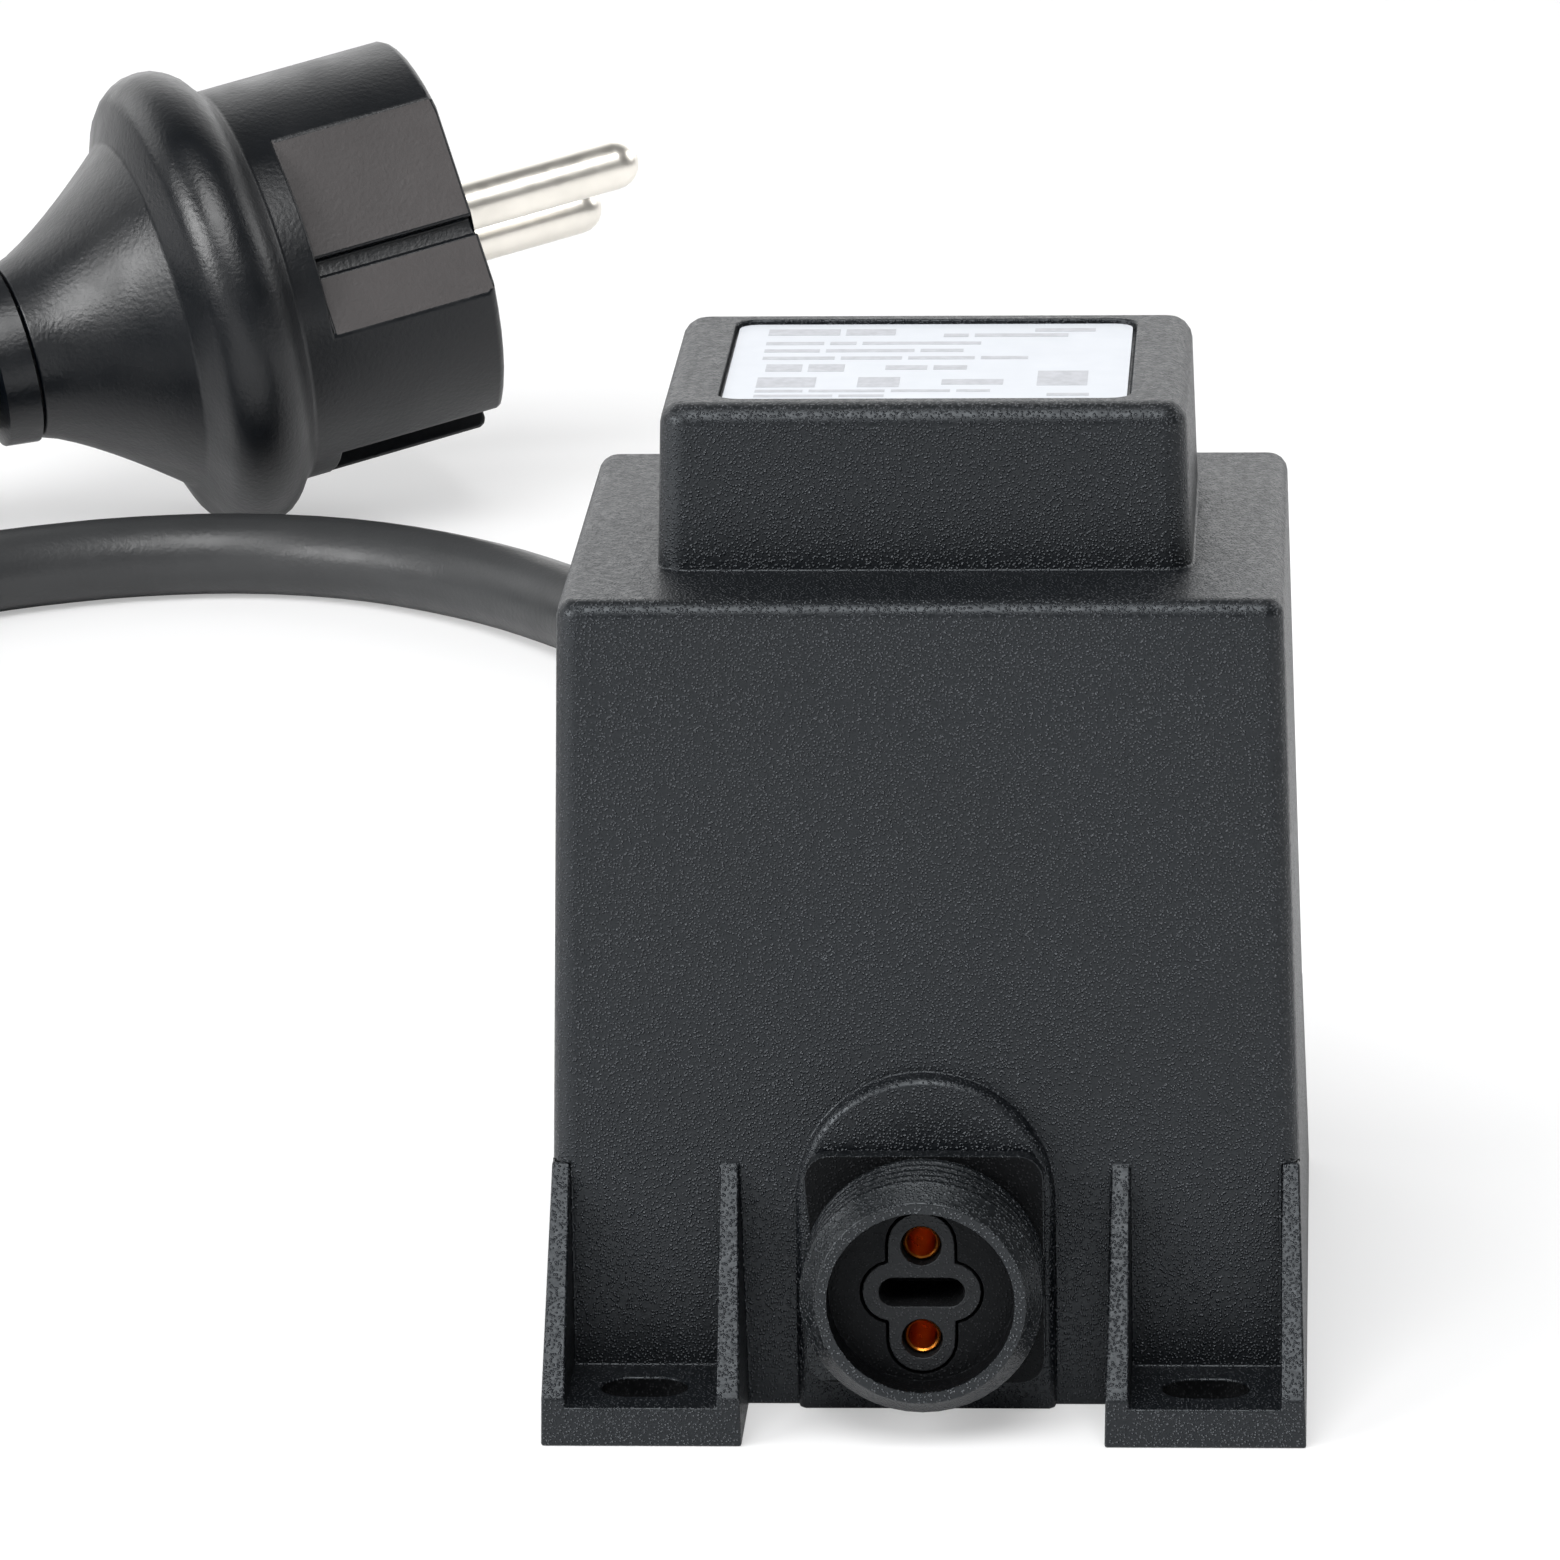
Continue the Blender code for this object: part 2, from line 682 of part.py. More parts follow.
def fuse_place():
    """The middle of the thermal fuse, which lies on the upper edge of the core, along Y."""
    middle = core_middle()
    x = -CORE_WINDOW * 3 / 8
    return Vector((x, middle.y, CORE_LIFT + CORE_HEIGHT + FIT_GAP + FUSE_RADIUS))


def make_fuse(finish):
    half = FUSE_LENGTH / 2
    neck = FUSE_RADIUS * 0.6
    profile = [
        (-half, neck),
        (-half + neck, FUSE_RADIUS),
        (half - neck, FUSE_RADIUS),
        (half, neck),
    ]
    turned("thermal_fuse", profile, fuse_place(), (0, 1, 0), finish, 20)


def make_resin(finish):
    inset = WALL + FIT_GAP
    resin = drafted_block(
        "potting_resin",
        BASE_WIDTH / 2 - inset - wall_inset(RESIN_RISE),
        BASE_DEPTH / 2 - inset - wall_inset(RESIN_RISE),
        box_y(),
        RESIN_RISE,
        RESIN_TOP,
        wall_inset(RESIN_TOP) - wall_inset(RESIN_RISE),
        BOX_CORNER / 2,
        finish=finish,
    )
    pocket = prism(
        "resin_pocket",
        rounded_rectangle(POCKET_HALF_WIDTH, POCKET_HALF_DEPTH, BOX_CORNER / 2, 2),
        lambda x, y, z: Vector((x, box_y() + y, z)),
        RESIN_RISE + RESIN_FLOOR,
        SHOULDER_HEIGHT,
    )
    boolean(resin, pocket, "DIFFERENCE")
    reach = BASE_DEPTH / 2 - POCKET_HALF_DEPTH
    inner_end = reach + 5 * LEAD_RADIUS
    front_notch = round_cutter("resin_front_notch", NECK_RADIUS + 2 * FIT_GAP, 0.0, inner_end)
    boolean(resin, front_notch, "DIFFERENCE")
    rear_notch = round_cutter("resin_rear_notch", RELIEF_HEAD + FIT_GAP, BASE_DEPTH - inner_end, BASE_DEPTH)
    boolean(resin, rear_notch, "DIFFERENCE")


def relief_depths():
    """Depths of the strain relief's inner end, inner shoulder, outer shoulder and tip."""
    outer_wall = BASE_DEPTH - wall_inset(AXIS_HEIGHT - RELIEF_COLLAR)
    inner_wall = BASE_DEPTH - wall_inset(AXIS_HEIGHT + RELIEF_HEAD) - WALL
    inner_shoulder = inner_wall - FIT_GAP
    outer_shoulder = outer_wall + FIT_GAP
    return inner_shoulder - RELIEF_HEAD_LENGTH, inner_shoulder, outer_shoulder, outer_shoulder + RELIEF_LENGTH


def ribbed_taper(start, length, root, tip, ribs, groove):
    """A tapering sleeve with square grooves between its ribs: (distance, radius)."""
    profile = []
    pitch = length / ribs
    for rib in range(ribs):
        for share, sink in ((0.0, 0.0), (0.55, 0.0), (0.65, groove), (0.9, groove)):
            along = (rib + share) * pitch
            radius = root + (tip - root) * along / length
            sunk = sink if rib < ribs - 1 else 0.0
            profile.append((start + along, radius - sunk))
    profile.append((start + length, tip))
    return profile


def make_strain_relief(finish):
    inner_end, inner_shoulder, outer_shoulder, tip = relief_depths()
    collar_end = outer_shoulder + RELIEF_COLLAR_LENGTH
    profile = [
        (inner_end, RELIEF_HEAD),
        (inner_shoulder, RELIEF_HEAD),
        (inner_shoulder, RELIEF_NECK),
        (outer_shoulder, RELIEF_NECK),
        (outer_shoulder, RELIEF_COLLAR),
        (collar_end - FIT_GAP, RELIEF_COLLAR),
        (collar_end, RELIEF_COLLAR - FIT_GAP),
    ]
    profile += ribbed_taper(
        collar_end, tip - collar_end, RELIEF_ROOT, RELIEF_TIP, RELIEF_RIBS, RELIEF_GROOVE
    )
    turned("strain_relief", profile, at_face(0, 0, AXIS_HEIGHT), (0, 1, 0), finish, 32)


def smooth_route(route, step):
    """Points about a step apart on the smooth curve through a route's own points."""
    padded = [2 * route[0] - route[1], *route, 2 * route[-1] - route[-2]]
    fine = []
    for a, b, c, d in zip(padded, padded[1:], padded[2:], padded[3:]):
        for k in range(24):
            t = k / 24
            fine.append(
                0.5 * (2 * b + (c - a) * t + (2 * a - 5 * b + 4 * c - d) * t**2 + (3 * b - a - 3 * c + d) * t**3)
            )
    fine.append(route[-1])
    lengths = [0.0]
    for p, q in zip(fine, fine[1:]):
        lengths.append(lengths[-1] + (q - p).length)
    count = max(3, round(lengths[-1] / step))
    points, at = [], 0
    for k in range(count + 1):
        wanted = lengths[-1] * k / count
        while at < len(lengths) - 2 and lengths[at + 1] < wanted:
            at += 1
        share = (wanted - lengths[at]) / (lengths[at + 1] - lengths[at])
        points.append(fine[at].lerp(fine[at + 1], min(max(share, 0.0), 1.0)))
    return points


def tube(name, route, radius, step, finish, sides=2):
    """A round tube along a route, with flat ends."""
    curve = bpy.data.curves.new(name, "CURVE")
    curve.dimensions = "3D"
    curve.bevel_depth = radius
    curve.bevel_resolution = sides
    curve.use_fill_caps = True
    points = smooth_route([Vector(p) for p in route], step)
    spline = curve.splines.new("POLY")
    spline.points.add(len(points) - 1)
    for place, point in zip(spline.points, points):
        place.co = (*point, 1.0)
    curve.materials.append(finish)
    made = bpy.data.objects.new(name, curve)
    bpy.context.scene.collection.objects.link(made)
    return made


def make_inner_leads(blue, brown, plain):
    """The insulated leads inside the housing, each ending just short of what it is soldered or crimped to."""
    middle = core_middle()
    side = CORE_WINDOW / 2 + CORE_BACK * 0.9
    near = CORE_WINDOW / 2 + CORE_BACK * 0.45
    flange = CORE_WINDOW / 2 + FIT_GAP / 3
    tail = FACE_Y + sleeve_depths()[1] + 2 * FIT_GAP
    beside = CORE_STACK / 2 + 5 * LEAD_RADIUS
    rear, front = middle.y + beside, middle.y - beside
    relief_end = FACE_Y + relief_depths()[0] - 2 * FIT_GAP
    straight = 2 * LEAD_RADIUS
    low = CORE_LIFT + CORE_LEG / 4
    fuse = fuse_place()
    fuse_rear = fuse.y + FUSE_LENGTH / 2 + FIT_GAP
    fuse_front = fuse.y - FUSE_LENGTH / 2 - FIT_GAP
    spread = 1.6 * LEAD_RADIUS
    bend = 4 * LEAD_RADIUS
    live = [
        (0.0, relief_end, AXIS_HEIGHT - spread),
        (0.0, relief_end - straight / 2, AXIS_HEIGHT - spread),
        (-bend, rear, AXIS_HEIGHT - spread - LEAD_RADIUS),
        (-CORE_WINDOW / 2, rear, low),
        (-side + LEAD_RADIUS, rear, low + bend / 2),
        (-side, rear, middle.z - CORE_HEIGHT / 4),
        (-side, rear, middle.z + CORE_HEIGHT / 4),
        (-side, rear, middle.z + CORE_HEIGHT * 0.4),
        (-near, rear - bend / 2, fuse.z - bend / 4),
        (fuse.x, fuse_rear + bend, fuse.z),
        (fuse.x, fuse_rear, fuse.z),
    ]
    neutral = [
        (0.0, relief_end, AXIS_HEIGHT + spread),
        (0.0, relief_end - straight / 2, AXIS_HEIGHT + spread),
        (-bend, rear, AXIS_HEIGHT + spread),
        (-CORE_WINDOW * 0.42, rear, AXIS_HEIGHT + spread),
        (-near + LEAD_RADIUS, rear, CORE_LIFT + CORE_LEG),
        (-near, rear, middle.z - CORE_HEIGHT / 4),
        (-flange - straight, rear, middle.z - CORE_HEIGHT / 5),
        (-flange, rear, middle.z - CORE_HEIGHT / 5),
    ]
    from_fuse = [
        (fuse.x, fuse_front, fuse.z),
        (fuse.x, fuse_front - straight, fuse.z),
        (fuse.x - LEAD_RADIUS, middle.y - CORE_STACK / 2 - 1.3 * LEAD_RADIUS, fuse.z - straight),
        (-near + LEAD_RADIUS, front + straight, middle.z + CORE_HEIGHT * 0.44),
        (-near - LEAD_RADIUS, front, middle.z + CORE_HEIGHT * 0.38),
        (-near - LEAD_RADIUS / 2, front, middle.z + CORE_HEIGHT * 0.3),
        (-flange - straight, front, middle.z + CORE_HEIGHT / 4),
        (-flange, front, middle.z + CORE_HEIGHT / 4),
    ]
    upper_z = AXIS_HEIGHT + CONTACT_SPREAD
    lower_z = AXIS_HEIGHT - CONTACT_SPREAD
    upper = [
        (0.0, tail, upper_z),
        (0.0, tail + straight / 2, upper_z),
        (bend, front - bend / 2, upper_z - LEAD_RADIUS),
        (CORE_WINDOW * 0.4, front, upper_z - 3 * LEAD_RADIUS),
        (near, front, upper_z - LEAD_RADIUS),
        (near + LEAD_RADIUS, front, middle.z - CORE_HEIGHT * 0.2),
        (flange + straight, front, middle.z - CORE_HEIGHT / 7),
        (flange, front, middle.z - CORE_HEIGHT / 7),
    ]
    lower = [
        (0.0, tail, lower_z),
        (0.0, tail + straight / 2, lower_z),
        (bend, front - bend / 2, lower_z + LEAD_RADIUS),
        (CORE_WINDOW / 3, front - LEAD_RADIUS, lower_z + LEAD_RADIUS),
        (near + LEAD_RADIUS, front - 2 * LEAD_RADIUS, lower_z + straight),
        (side, front - 2 * LEAD_RADIUS, lower_z + 2 * bend),
        (side, front - 2 * LEAD_RADIUS, middle.z - CORE_HEIGHT / 12),
        (near + LEAD_RADIUS, front - LEAD_RADIUS, middle.z + CORE_HEIGHT / 24),
        (flange + straight, front, middle.z + CORE_HEIGHT / 16),
        (flange, front, middle.z + CORE_HEIGHT / 16),
    ]
    step = 3 * LEAD_RADIUS
    tube("primary_lead_live", live, LEAD_RADIUS, step, brown)
    tube("primary_lead_neutral", neutral, LEAD_RADIUS, step, blue)
    tube("fuse_lead", from_fuse, LEAD_RADIUS, step, brown)
    tube("secondary_lead_upper", upper, LEAD_RADIUS, step, plain)
    tube("secondary_lead_lower", lower, LEAD_RADIUS, step, plain)


def coil_radius():
    """The radius of the cord's line on the outermost turn of the coil."""
    return COIL_INNER + COIL_PITCH * COIL_LAYER_TURNS


def coil_section():
    """Inner radius, outer radius, underside and top of the wound coil."""
    reach = CORD_RADIUS + COIL_SLACK
    top = COIL_LIFT + 2 * CORD_RADIUS + COIL_PITCH + COIL_SLACK
    return COIL_INNER - reach, coil_radius() + reach, COIL_LIFT, top


def beside_coil(angle, z, gap):
    """The cord's line on the ground beside the coil: the angle is in degrees, and the gap is to the coil's side."""
    reach = coil_section()[1] + CORD_RADIUS + gap
    turn = math.radians(angle)
    return COIL_CENTRE[0] + reach * math.cos(turn), COIL_CENTRE[1] + reach * math.sin(turn), z


def route_to_coil():
    """From the strain relief's tip, along the ground to the left and round the right of the coil."""
    tip = relief_depths()[3] + 2 * FIT_GAP
    laid = CORD_RADIUS + CORD_LIFT
    first = [(0.0, tip, AXIS_HEIGHT), (0.0, tip + 0.003, AXIS_HEIGHT), (0.0, tip + 0.010, 0.0104)]
    points = [
        (-0.0008, 0.0960, 0.0085),
        (-0.0025, 0.1100, 0.0058),
        (-0.0055, 0.1260, 0.0043),
        (-0.0105, 0.1440, laid),
        (-0.0180, 0.1640, laid),
        (-0.0275, 0.1846, laid),
        (-0.0362, 0.1998, laid),
        (-0.0434, 0.2097, laid),
        (-0.0502, 0.2170, laid),
        (-0.0586, 0.2232, laid),
        (-0.0665, 0.2266, laid),
        (-0.0753, 0.2278, laid),
        (-0.0845, 0.2265, laid),
        (-0.0917, 0.2238, laid),
        (-0.0975, 0.2206, laid),
        (-0.1067, 0.2136, laid),
        (-0.1133, 0.2051, laid),
        (-0.1174, 0.1952, laid),
        (-0.1188, 0.1845, laid),
        (-0.1189, 0.1775, laid),
    ]
    climb = [(0, 0.0), (-10, 0.0003), (-20, 0.0013), (-30, 0.0028), (-40, 0.0045), (-50, 0.0062)]
    points += [beside_coil(angle, laid + rise, COIL_SIDE_GAP) for angle, rise in climb]
    return first + points


def route_to_plug():
    """From the coil's lowest outer turn, along the ground and up to the end of the plug's boot."""
    laid = CORD_RADIUS + COIL_LIFT
    end = plug_point(PLUG_GRIP_END + BOOT_LENGTH + 2 * FIT_GAP)
    axis = plug_axes()[0]
    return [
        beside_coil(COIL_LEAVING_ANGLE, laid, COIL_SIDE_GAP / 2),
        (-0.1690, 0.2270, laid + 0.0008),
        (-0.1580, 0.2268, laid + 0.0025),
        tuple(end - 0.019 * axis + Vector((0.0, 0.0006, 0.0))),
        tuple(end - 0.010 * axis),
        tuple(end - 0.003 * axis),
        tuple(end),
    ]


def in_row_frame(route):
    """A route given by depth behind the front wall, in the model's frame."""
    return [at_face(x, depth, z) for x, depth, z in route]


def make_cord(rubber):
    tube("mains_cord", in_row_frame(route_to_coil()), CORD_RADIUS, CORD_STEP, rubber)
    start = in_row_frame(route_to_plug()[:3])
    tube("mains_cord_tail", start + route_to_plug()[3:], CORD_RADIUS, CORD_STEP, rubber)


def make_coil(rubber, strap):
    inner, outer, low, high = coil_section()
    centre = at_face(COIL_CENTRE[0], COIL_CENTRE[1], 0.0)
    middle_r, middle_z = (inner + outer) / 2, (low + high) / 2
    half_r, half_z = (outer - inner) / 2, (high - low) / 2
    section = rounded_rectangle(half_z, half_r, CORD_RADIUS * 0.9, 3)
    profile = [(middle_z + u, middle_r + v) for u, v in section]
    turned("cord_coil", profile, centre, (0, 0, 1), rubber, 60, hollow=True)
    radial = Vector((math.cos(TIE_ANGLE), math.sin(TIE_ANGLE), 0.0))
    across = Vector((-radial.y, radial.x, 0.0))
    loops = []
    for grow, shift in ((0.0, -1), (1.0, -1), (1.0, 1), (0.0, 1)):
        band = grow * TIE_THICKNESS + FIT_GAP
        outline = rounded_rectangle(half_r + FIT_GAP + band, half_z + band, CORD_RADIUS * 0.8 + band, 4)
        loops.append(
            [
                centre
                + radial * (middle_r + u)
                + across * (shift * TIE_WIDTH / 2)
                + Vector((0, 0, middle_z + v))
                for u, v in outline
            ]
        )
    loft("cord_tie", loops, strap, closed=True)


def plug_axes():
    """Unit vectors of the plug: towards its pins, from pin to pin, and across both."""
    level = math.cos(PLUG_TILT)
    axis = Vector((level * math.cos(PLUG_HEADING), level * math.sin(PLUG_HEADING), math.sin(PLUG_TILT)))
    side = axis.cross(Vector((0, 0, 1))).normalized()
    up = side.cross(axis)
    pins = math.cos(PLUG_ROLL) * side + math.sin(PLUG_ROLL) * up
    across = -math.sin(PLUG_ROLL) * side + math.cos(PLUG_ROLL) * up
    return axis, pins, across


def plug_point(behind, pinwards=0.0, across=0.0):
    """A point so far behind the plug's face, off its axis. The flange's rim lies on the ground."""
    axis, pins, over = plug_axes()
    flange_height = (PLUG_FLANGE_RADIUS - PLUG_FLANGE_ROUND) * math.cos(PLUG_TILT) + PLUG_FLANGE_ROUND
    face = at_face(PLUG_FACE[0], PLUG_FACE[1], flange_height + PLUG_FLANGE_PLACE * math.sin(PLUG_TILT))
    return face - axis * behind + pins * pinwards + over * across


def plug_profile():
    """The plug's outline from its face to the end of its grip: (distance behind the face, radius)."""
    rim = PLUG_FLANGE_RADIUS - PLUG_FLANGE_ROUND
    profile = [(0.0, PLUG_RADIUS - PLUG_EDGE)]
    profile += [
        (PLUG_EDGE - PLUG_EDGE * math.cos(a), PLUG_RADIUS - PLUG_EDGE + PLUG_EDGE * math.sin(a))
        for a in (math.pi / 4, math.pi / 2)
    ]
    profile.append((PLUG_FRONT_LENGTH, PLUG_RADIUS))
    for k in range(2, 11):
        turn = math.pi * k / 12
        along = PLUG_FLANGE_PLACE - PLUG_FLANGE_ROUND * math.cos(turn)
        profile.append((along, rim + PLUG_FLANGE_ROUND * math.sin(turn)))
    for k in range(9):
        share = k / 8
        along = PLUG_GRIP_START + (PLUG_GRIP_END - PLUG_GRIP_START) * share
        falling = (1 - share) ** PLUG_GRIP_FALL
        profile.append((along, PLUG_NECK_RADIUS + (PLUG_GRIP_ROOT - PLUG_NECK_RADIUS) * falling))
    return profile


def plug_cutter(name, width, inset, side, along, shift=0.0):
    """A channel along the plug, cut in from its outside to an inset. side is pin direction or across."""
    axis, pins, over = plug_axes()
    out, wide = (pins, over) if side == "pins" else (over, pins)
    outer = PLUG_RADIUS * 1.2
    base = PLUG_RADIUS - inset
    low, high = shift - width / 2, shift + width / 2
    outline = [(low, base), (high, base), (high, outer), (low, outer)]

    def place(w, o, behind):
        return plug_point(behind) + along * out * o + wide * w

    return prism(name, outline, place, -PLUG_EDGE * 4, PLUG_CUT_LENGTH)


def make_plug(rubber, hard, brass):
    axis = plug_axes()[0]
    body = turned("plug_body", plug_profile(), plug_point(0.0), -axis, rubber, 48)
    seat = BRIDGE_SINK + BRIDGE_THICKNESS + FIT_GAP
    well = turned(
        "bridge_seat",
        [(-seat, BRIDGE_RADIUS + FIT_GAP), (seat, BRIDGE_RADIUS + FIT_GAP)],
        plug_point(0.0),
        -axis,
        None,
        40,
    )
    boolean(body, well, "DIFFERENCE")
    for along in (1, -1):
        flat = plug_cutter(f"guide_flat_{along}", PLUG_RADIUS * 1.9, PLUG_FLAT_INSET, "pins", along)
        inset = PLUG_FLAT_INSET + PLUG_GROOVE_DEPTH
        shift = -along * PLUG_GROOVE_SHIFT
        groove = plug_cutter(f"guide_groove_{along}", PLUG_GROOVE_WIDTH, inset, "pins", along, shift)
        clip = plug_cutter(f"clip_channel_{along}", PLUG_CLIP_WIDTH, PLUG_CLIP_DEPTH, "across", along)
        for tool in (flat, groove, clip):
            boolean(body, tool, "DIFFERENCE")
    for side in (1, -1):
        base = plug_point(0.0, side * PIN_SPREAD)
        hole = turned(
            f"pin_hole_{side}",
            [(0.0, PIN_RADIUS + FIT_GAP), (PIN_ROOT + FIT_GAP, PIN_RADIUS + FIT_GAP)],
            base,
            -axis,
            None,
            20,
        )
        boolean(body, hole, "DIFFERENCE")
    bridge = turned(
        "plug_bridge",
        [(BRIDGE_SINK, BRIDGE_RADIUS), (BRIDGE_SINK + BRIDGE_THICKNESS, BRIDGE_RADIUS)],
        plug_point(0.0),
        -axis,
        hard,
        40,
    )
    for side in (1, -1):
        run = BRIDGE_SINK + BRIDGE_THICKNESS
        hole = turned(
            f"bridge_hole_{side}",
            [(-run, PIN_RADIUS + FIT_GAP / 2), (2 * run, PIN_RADIUS + FIT_GAP / 2)],
            plug_point(0.0, side * PIN_SPREAD),
            -axis,
            None,
            20,
        )
        boolean(bridge, hole, "DIFFERENCE")
    boot_start = PLUG_GRIP_END + FIT_GAP
    boot = ribbed_taper(boot_start, BOOT_LENGTH - FIT_GAP, BOOT_ROOT, BOOT_TIP, BOOT_RIBS, BOOT_GROOVE)
    turned("plug_boot", boot, plug_point(0.0), -axis, rubber, 32)
    for name, side in (("plug_pin_a", 1), ("plug_pin_b", -1)):
        round_end = [
            (-PIN_LENGTH + PIN_RADIUS * (1 - math.cos(a)), PIN_RADIUS * math.sin(a))
            for a in (math.pi * k / 12 for k in range(6, 0, -1))
        ]
        profile = [(PIN_ROOT, PIN_RADIUS)] + round_end
        turned(name, profile, plug_point(0.0, side * PIN_SPREAD), -axis, brass, 20)


def main():
    for old in list(bpy.data.objects):
        bpy.data.objects.remove(old)
    shell = material("housing_plastic", (0.034, 0.039, 0.045), 0.62)
    insert = material("contact_plastic", (0.055, 0.060, 0.068), 0.5)
    white = material("label_face", (0.82, 0.86, 0.92), 0.45)
    brass = material("contact_brass", (0.72, 0.33, 0.09), 0.3, 1.0)
    nickel = material("pin_metal", (0.80, 0.72, 0.60), 0.25, 1.0)
    steel = material("lamination_steel", (0.30, 0.31, 0.33), 0.4, 1.0)
    nylon = material("bobbin_nylon", (0.75, 0.73, 0.66), 0.5)
    copper = material("winding_copper", (0.70, 0.27, 0.12), 0.35, 1.0)
    tape = material("winding_tape", (0.80, 0.66, 0.16), 0.5)
    resin = material("potting_resin", (0.020, 0.020, 0.022), 0.3)
    can = material("fuse_can", (0.62, 0.62, 0.60), 0.35, 1.0)
    brown = material("lead_brown", (0.16, 0.06, 0.025), 0.5)
    blue = material("lead_blue", (0.03, 0.12, 0.42), 0.5)
    plain = material("lead_black", (0.03, 0.03, 0.03), 0.5)
    cord = material("cord_rubber", (0.060, 0.064, 0.068), 0.55)
    rubber = material("plug_rubber", (0.022, 0.024, 0.027), 0.4)
    strap = material("tie_fabric", (0.03, 0.03, 0.03), 0.8)

    make_housing(shell)
    make_label(white)
    make_socket(shell)
    make_carrier(insert)
    make_contacts(brass)
    make_strain_relief(cord)
    make_resin(resin)
    make_core(steel)
    make_bobbin(nylon)
    make_windings(copper, tape)
    make_fuse(can)
    make_inner_leads(blue, brown, plain)
    make_cord(cord)
    make_coil(cord, strap)
    make_plug(rubber, insert, nickel)


main()
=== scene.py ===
"""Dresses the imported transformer: camera and light, the mains cord with its coil, and the materials and small
pieces that the CAD solids leave out. Metres, in the frame of the CAD model.
"""

import math

import bmesh
import bpy
from mathutils import Matrix, Vector


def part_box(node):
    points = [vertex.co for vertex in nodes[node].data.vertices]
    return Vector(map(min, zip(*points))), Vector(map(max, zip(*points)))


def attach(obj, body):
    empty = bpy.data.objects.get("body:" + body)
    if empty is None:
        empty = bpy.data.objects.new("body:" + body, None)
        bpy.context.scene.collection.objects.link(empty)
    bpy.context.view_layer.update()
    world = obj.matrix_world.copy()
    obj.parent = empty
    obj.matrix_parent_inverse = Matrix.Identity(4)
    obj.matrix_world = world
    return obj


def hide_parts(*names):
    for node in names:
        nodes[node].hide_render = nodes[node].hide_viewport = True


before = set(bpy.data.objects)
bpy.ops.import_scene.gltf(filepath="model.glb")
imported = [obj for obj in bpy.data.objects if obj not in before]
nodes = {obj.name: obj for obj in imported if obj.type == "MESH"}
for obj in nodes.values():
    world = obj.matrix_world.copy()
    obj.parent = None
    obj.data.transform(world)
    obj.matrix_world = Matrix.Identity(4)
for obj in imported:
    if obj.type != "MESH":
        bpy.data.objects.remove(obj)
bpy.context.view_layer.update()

# The foot of the housing's front wall: every depth is counted from there
FACE_Y = -0.0233

# Camera, fitted to the corners of the housing in the photograph
EYE = (0.029424, -0.651489 + FACE_Y, 0.231378)
YAW = math.radians(-3.447)
PITCH = math.radians(15.828)
ROLL = math.radians(-0.979)
FOCAL_PIXELS = 9671.76
PHOTO_PIXELS = 1560
SENSOR_MM = 36
CLIP_START = 0.05
CLIP_END = 20

# World: its strength in front and at the back, and the Y of the directions between which it changes
WORLD_FRONT = 0.15
WORLD_REAR = 1.7
WORLD_TURN = (0.35, 0.96)

# Floor: half its width, its colour, and the share and strength of the white that it gives off to the camera
FLOOR_HALF = 6.0
FLOOR_WHITE = (0.86, 0.86, 0.865)
FLOOR_OWN_WHITE = 0.35
FLOOR_GLOW = 1.1

# Soft lamps: where each is, the point that it faces, its width and height, and its power in watts
LAMPS = {
    "key": ((-0.05, -0.68, 1.10), (0, 0.05, 0.03), 0.9, 0.85, 16),
    "left": ((-1.0, -0.55, 0.50), (-0.03, 0.1, 0.03), 0.8, 0.5, 14),
    "right": ((1.0, 0.6, 0.6), (0, 0.05, 0.03), 0.6, 0.6, 3),
    "rear": ((-1.0, 0.7, 0.55), (-0.03, 0.1, 0.03), 0.8, 0.6, 2.5),
}

# Moulded plastic: its grain in domes per metre, how high they stand, the colour of the painted glints on their
# tops, the tint of its reflections, and the slow waves in the wall, per metre, with their depth
GRAIN_SCALE = 4500
GRAIN_DEPTH = 0.000085
PAINTED_GLINT_COLOUR = (90, 91, 94)
COOL_TINT = (0.89, 0.95, 1.0)
WALL_SCALE = 38
WALL_DEPTH = 0.0004

# The width of one wave of Blender's wave texture at a scale of 1
WAVE_WIDTH = 0.314

# Rating plate's film and its print
FILM_WHITE = (0.53, 0.555, 0.595)
INK_GREY = (0.40, 0.41, 0.44)

# Socket
AXIS_HEIGHT = 0.0110
BORE_RADIUS = 0.00665
BORE_LIP = 0.0002

# Screw holes in the feet: the shelf's height, their place and reach from the middle of the housing, and the
# most that a normal on their walls points up or down
SHELF_HEIGHT = 0.0029
SCREW_HOLE_X = 0.0199
SCREW_HOLE_Y = 0.0283
SCREW_HOLE_REACH = 0.0034
SCREW_HOLE_TILT = 0.3

# Mains cord
CORD_RADIUS = 0.00385
CORD_STEP = 0.003
CORD_LIFT = 0.00006
CORD_BEVEL_STEPS = 6
SPLINE_STEPS = 12
EXIT = (0.0, 0.0770 + FACE_Y, AXIS_HEIGHT)

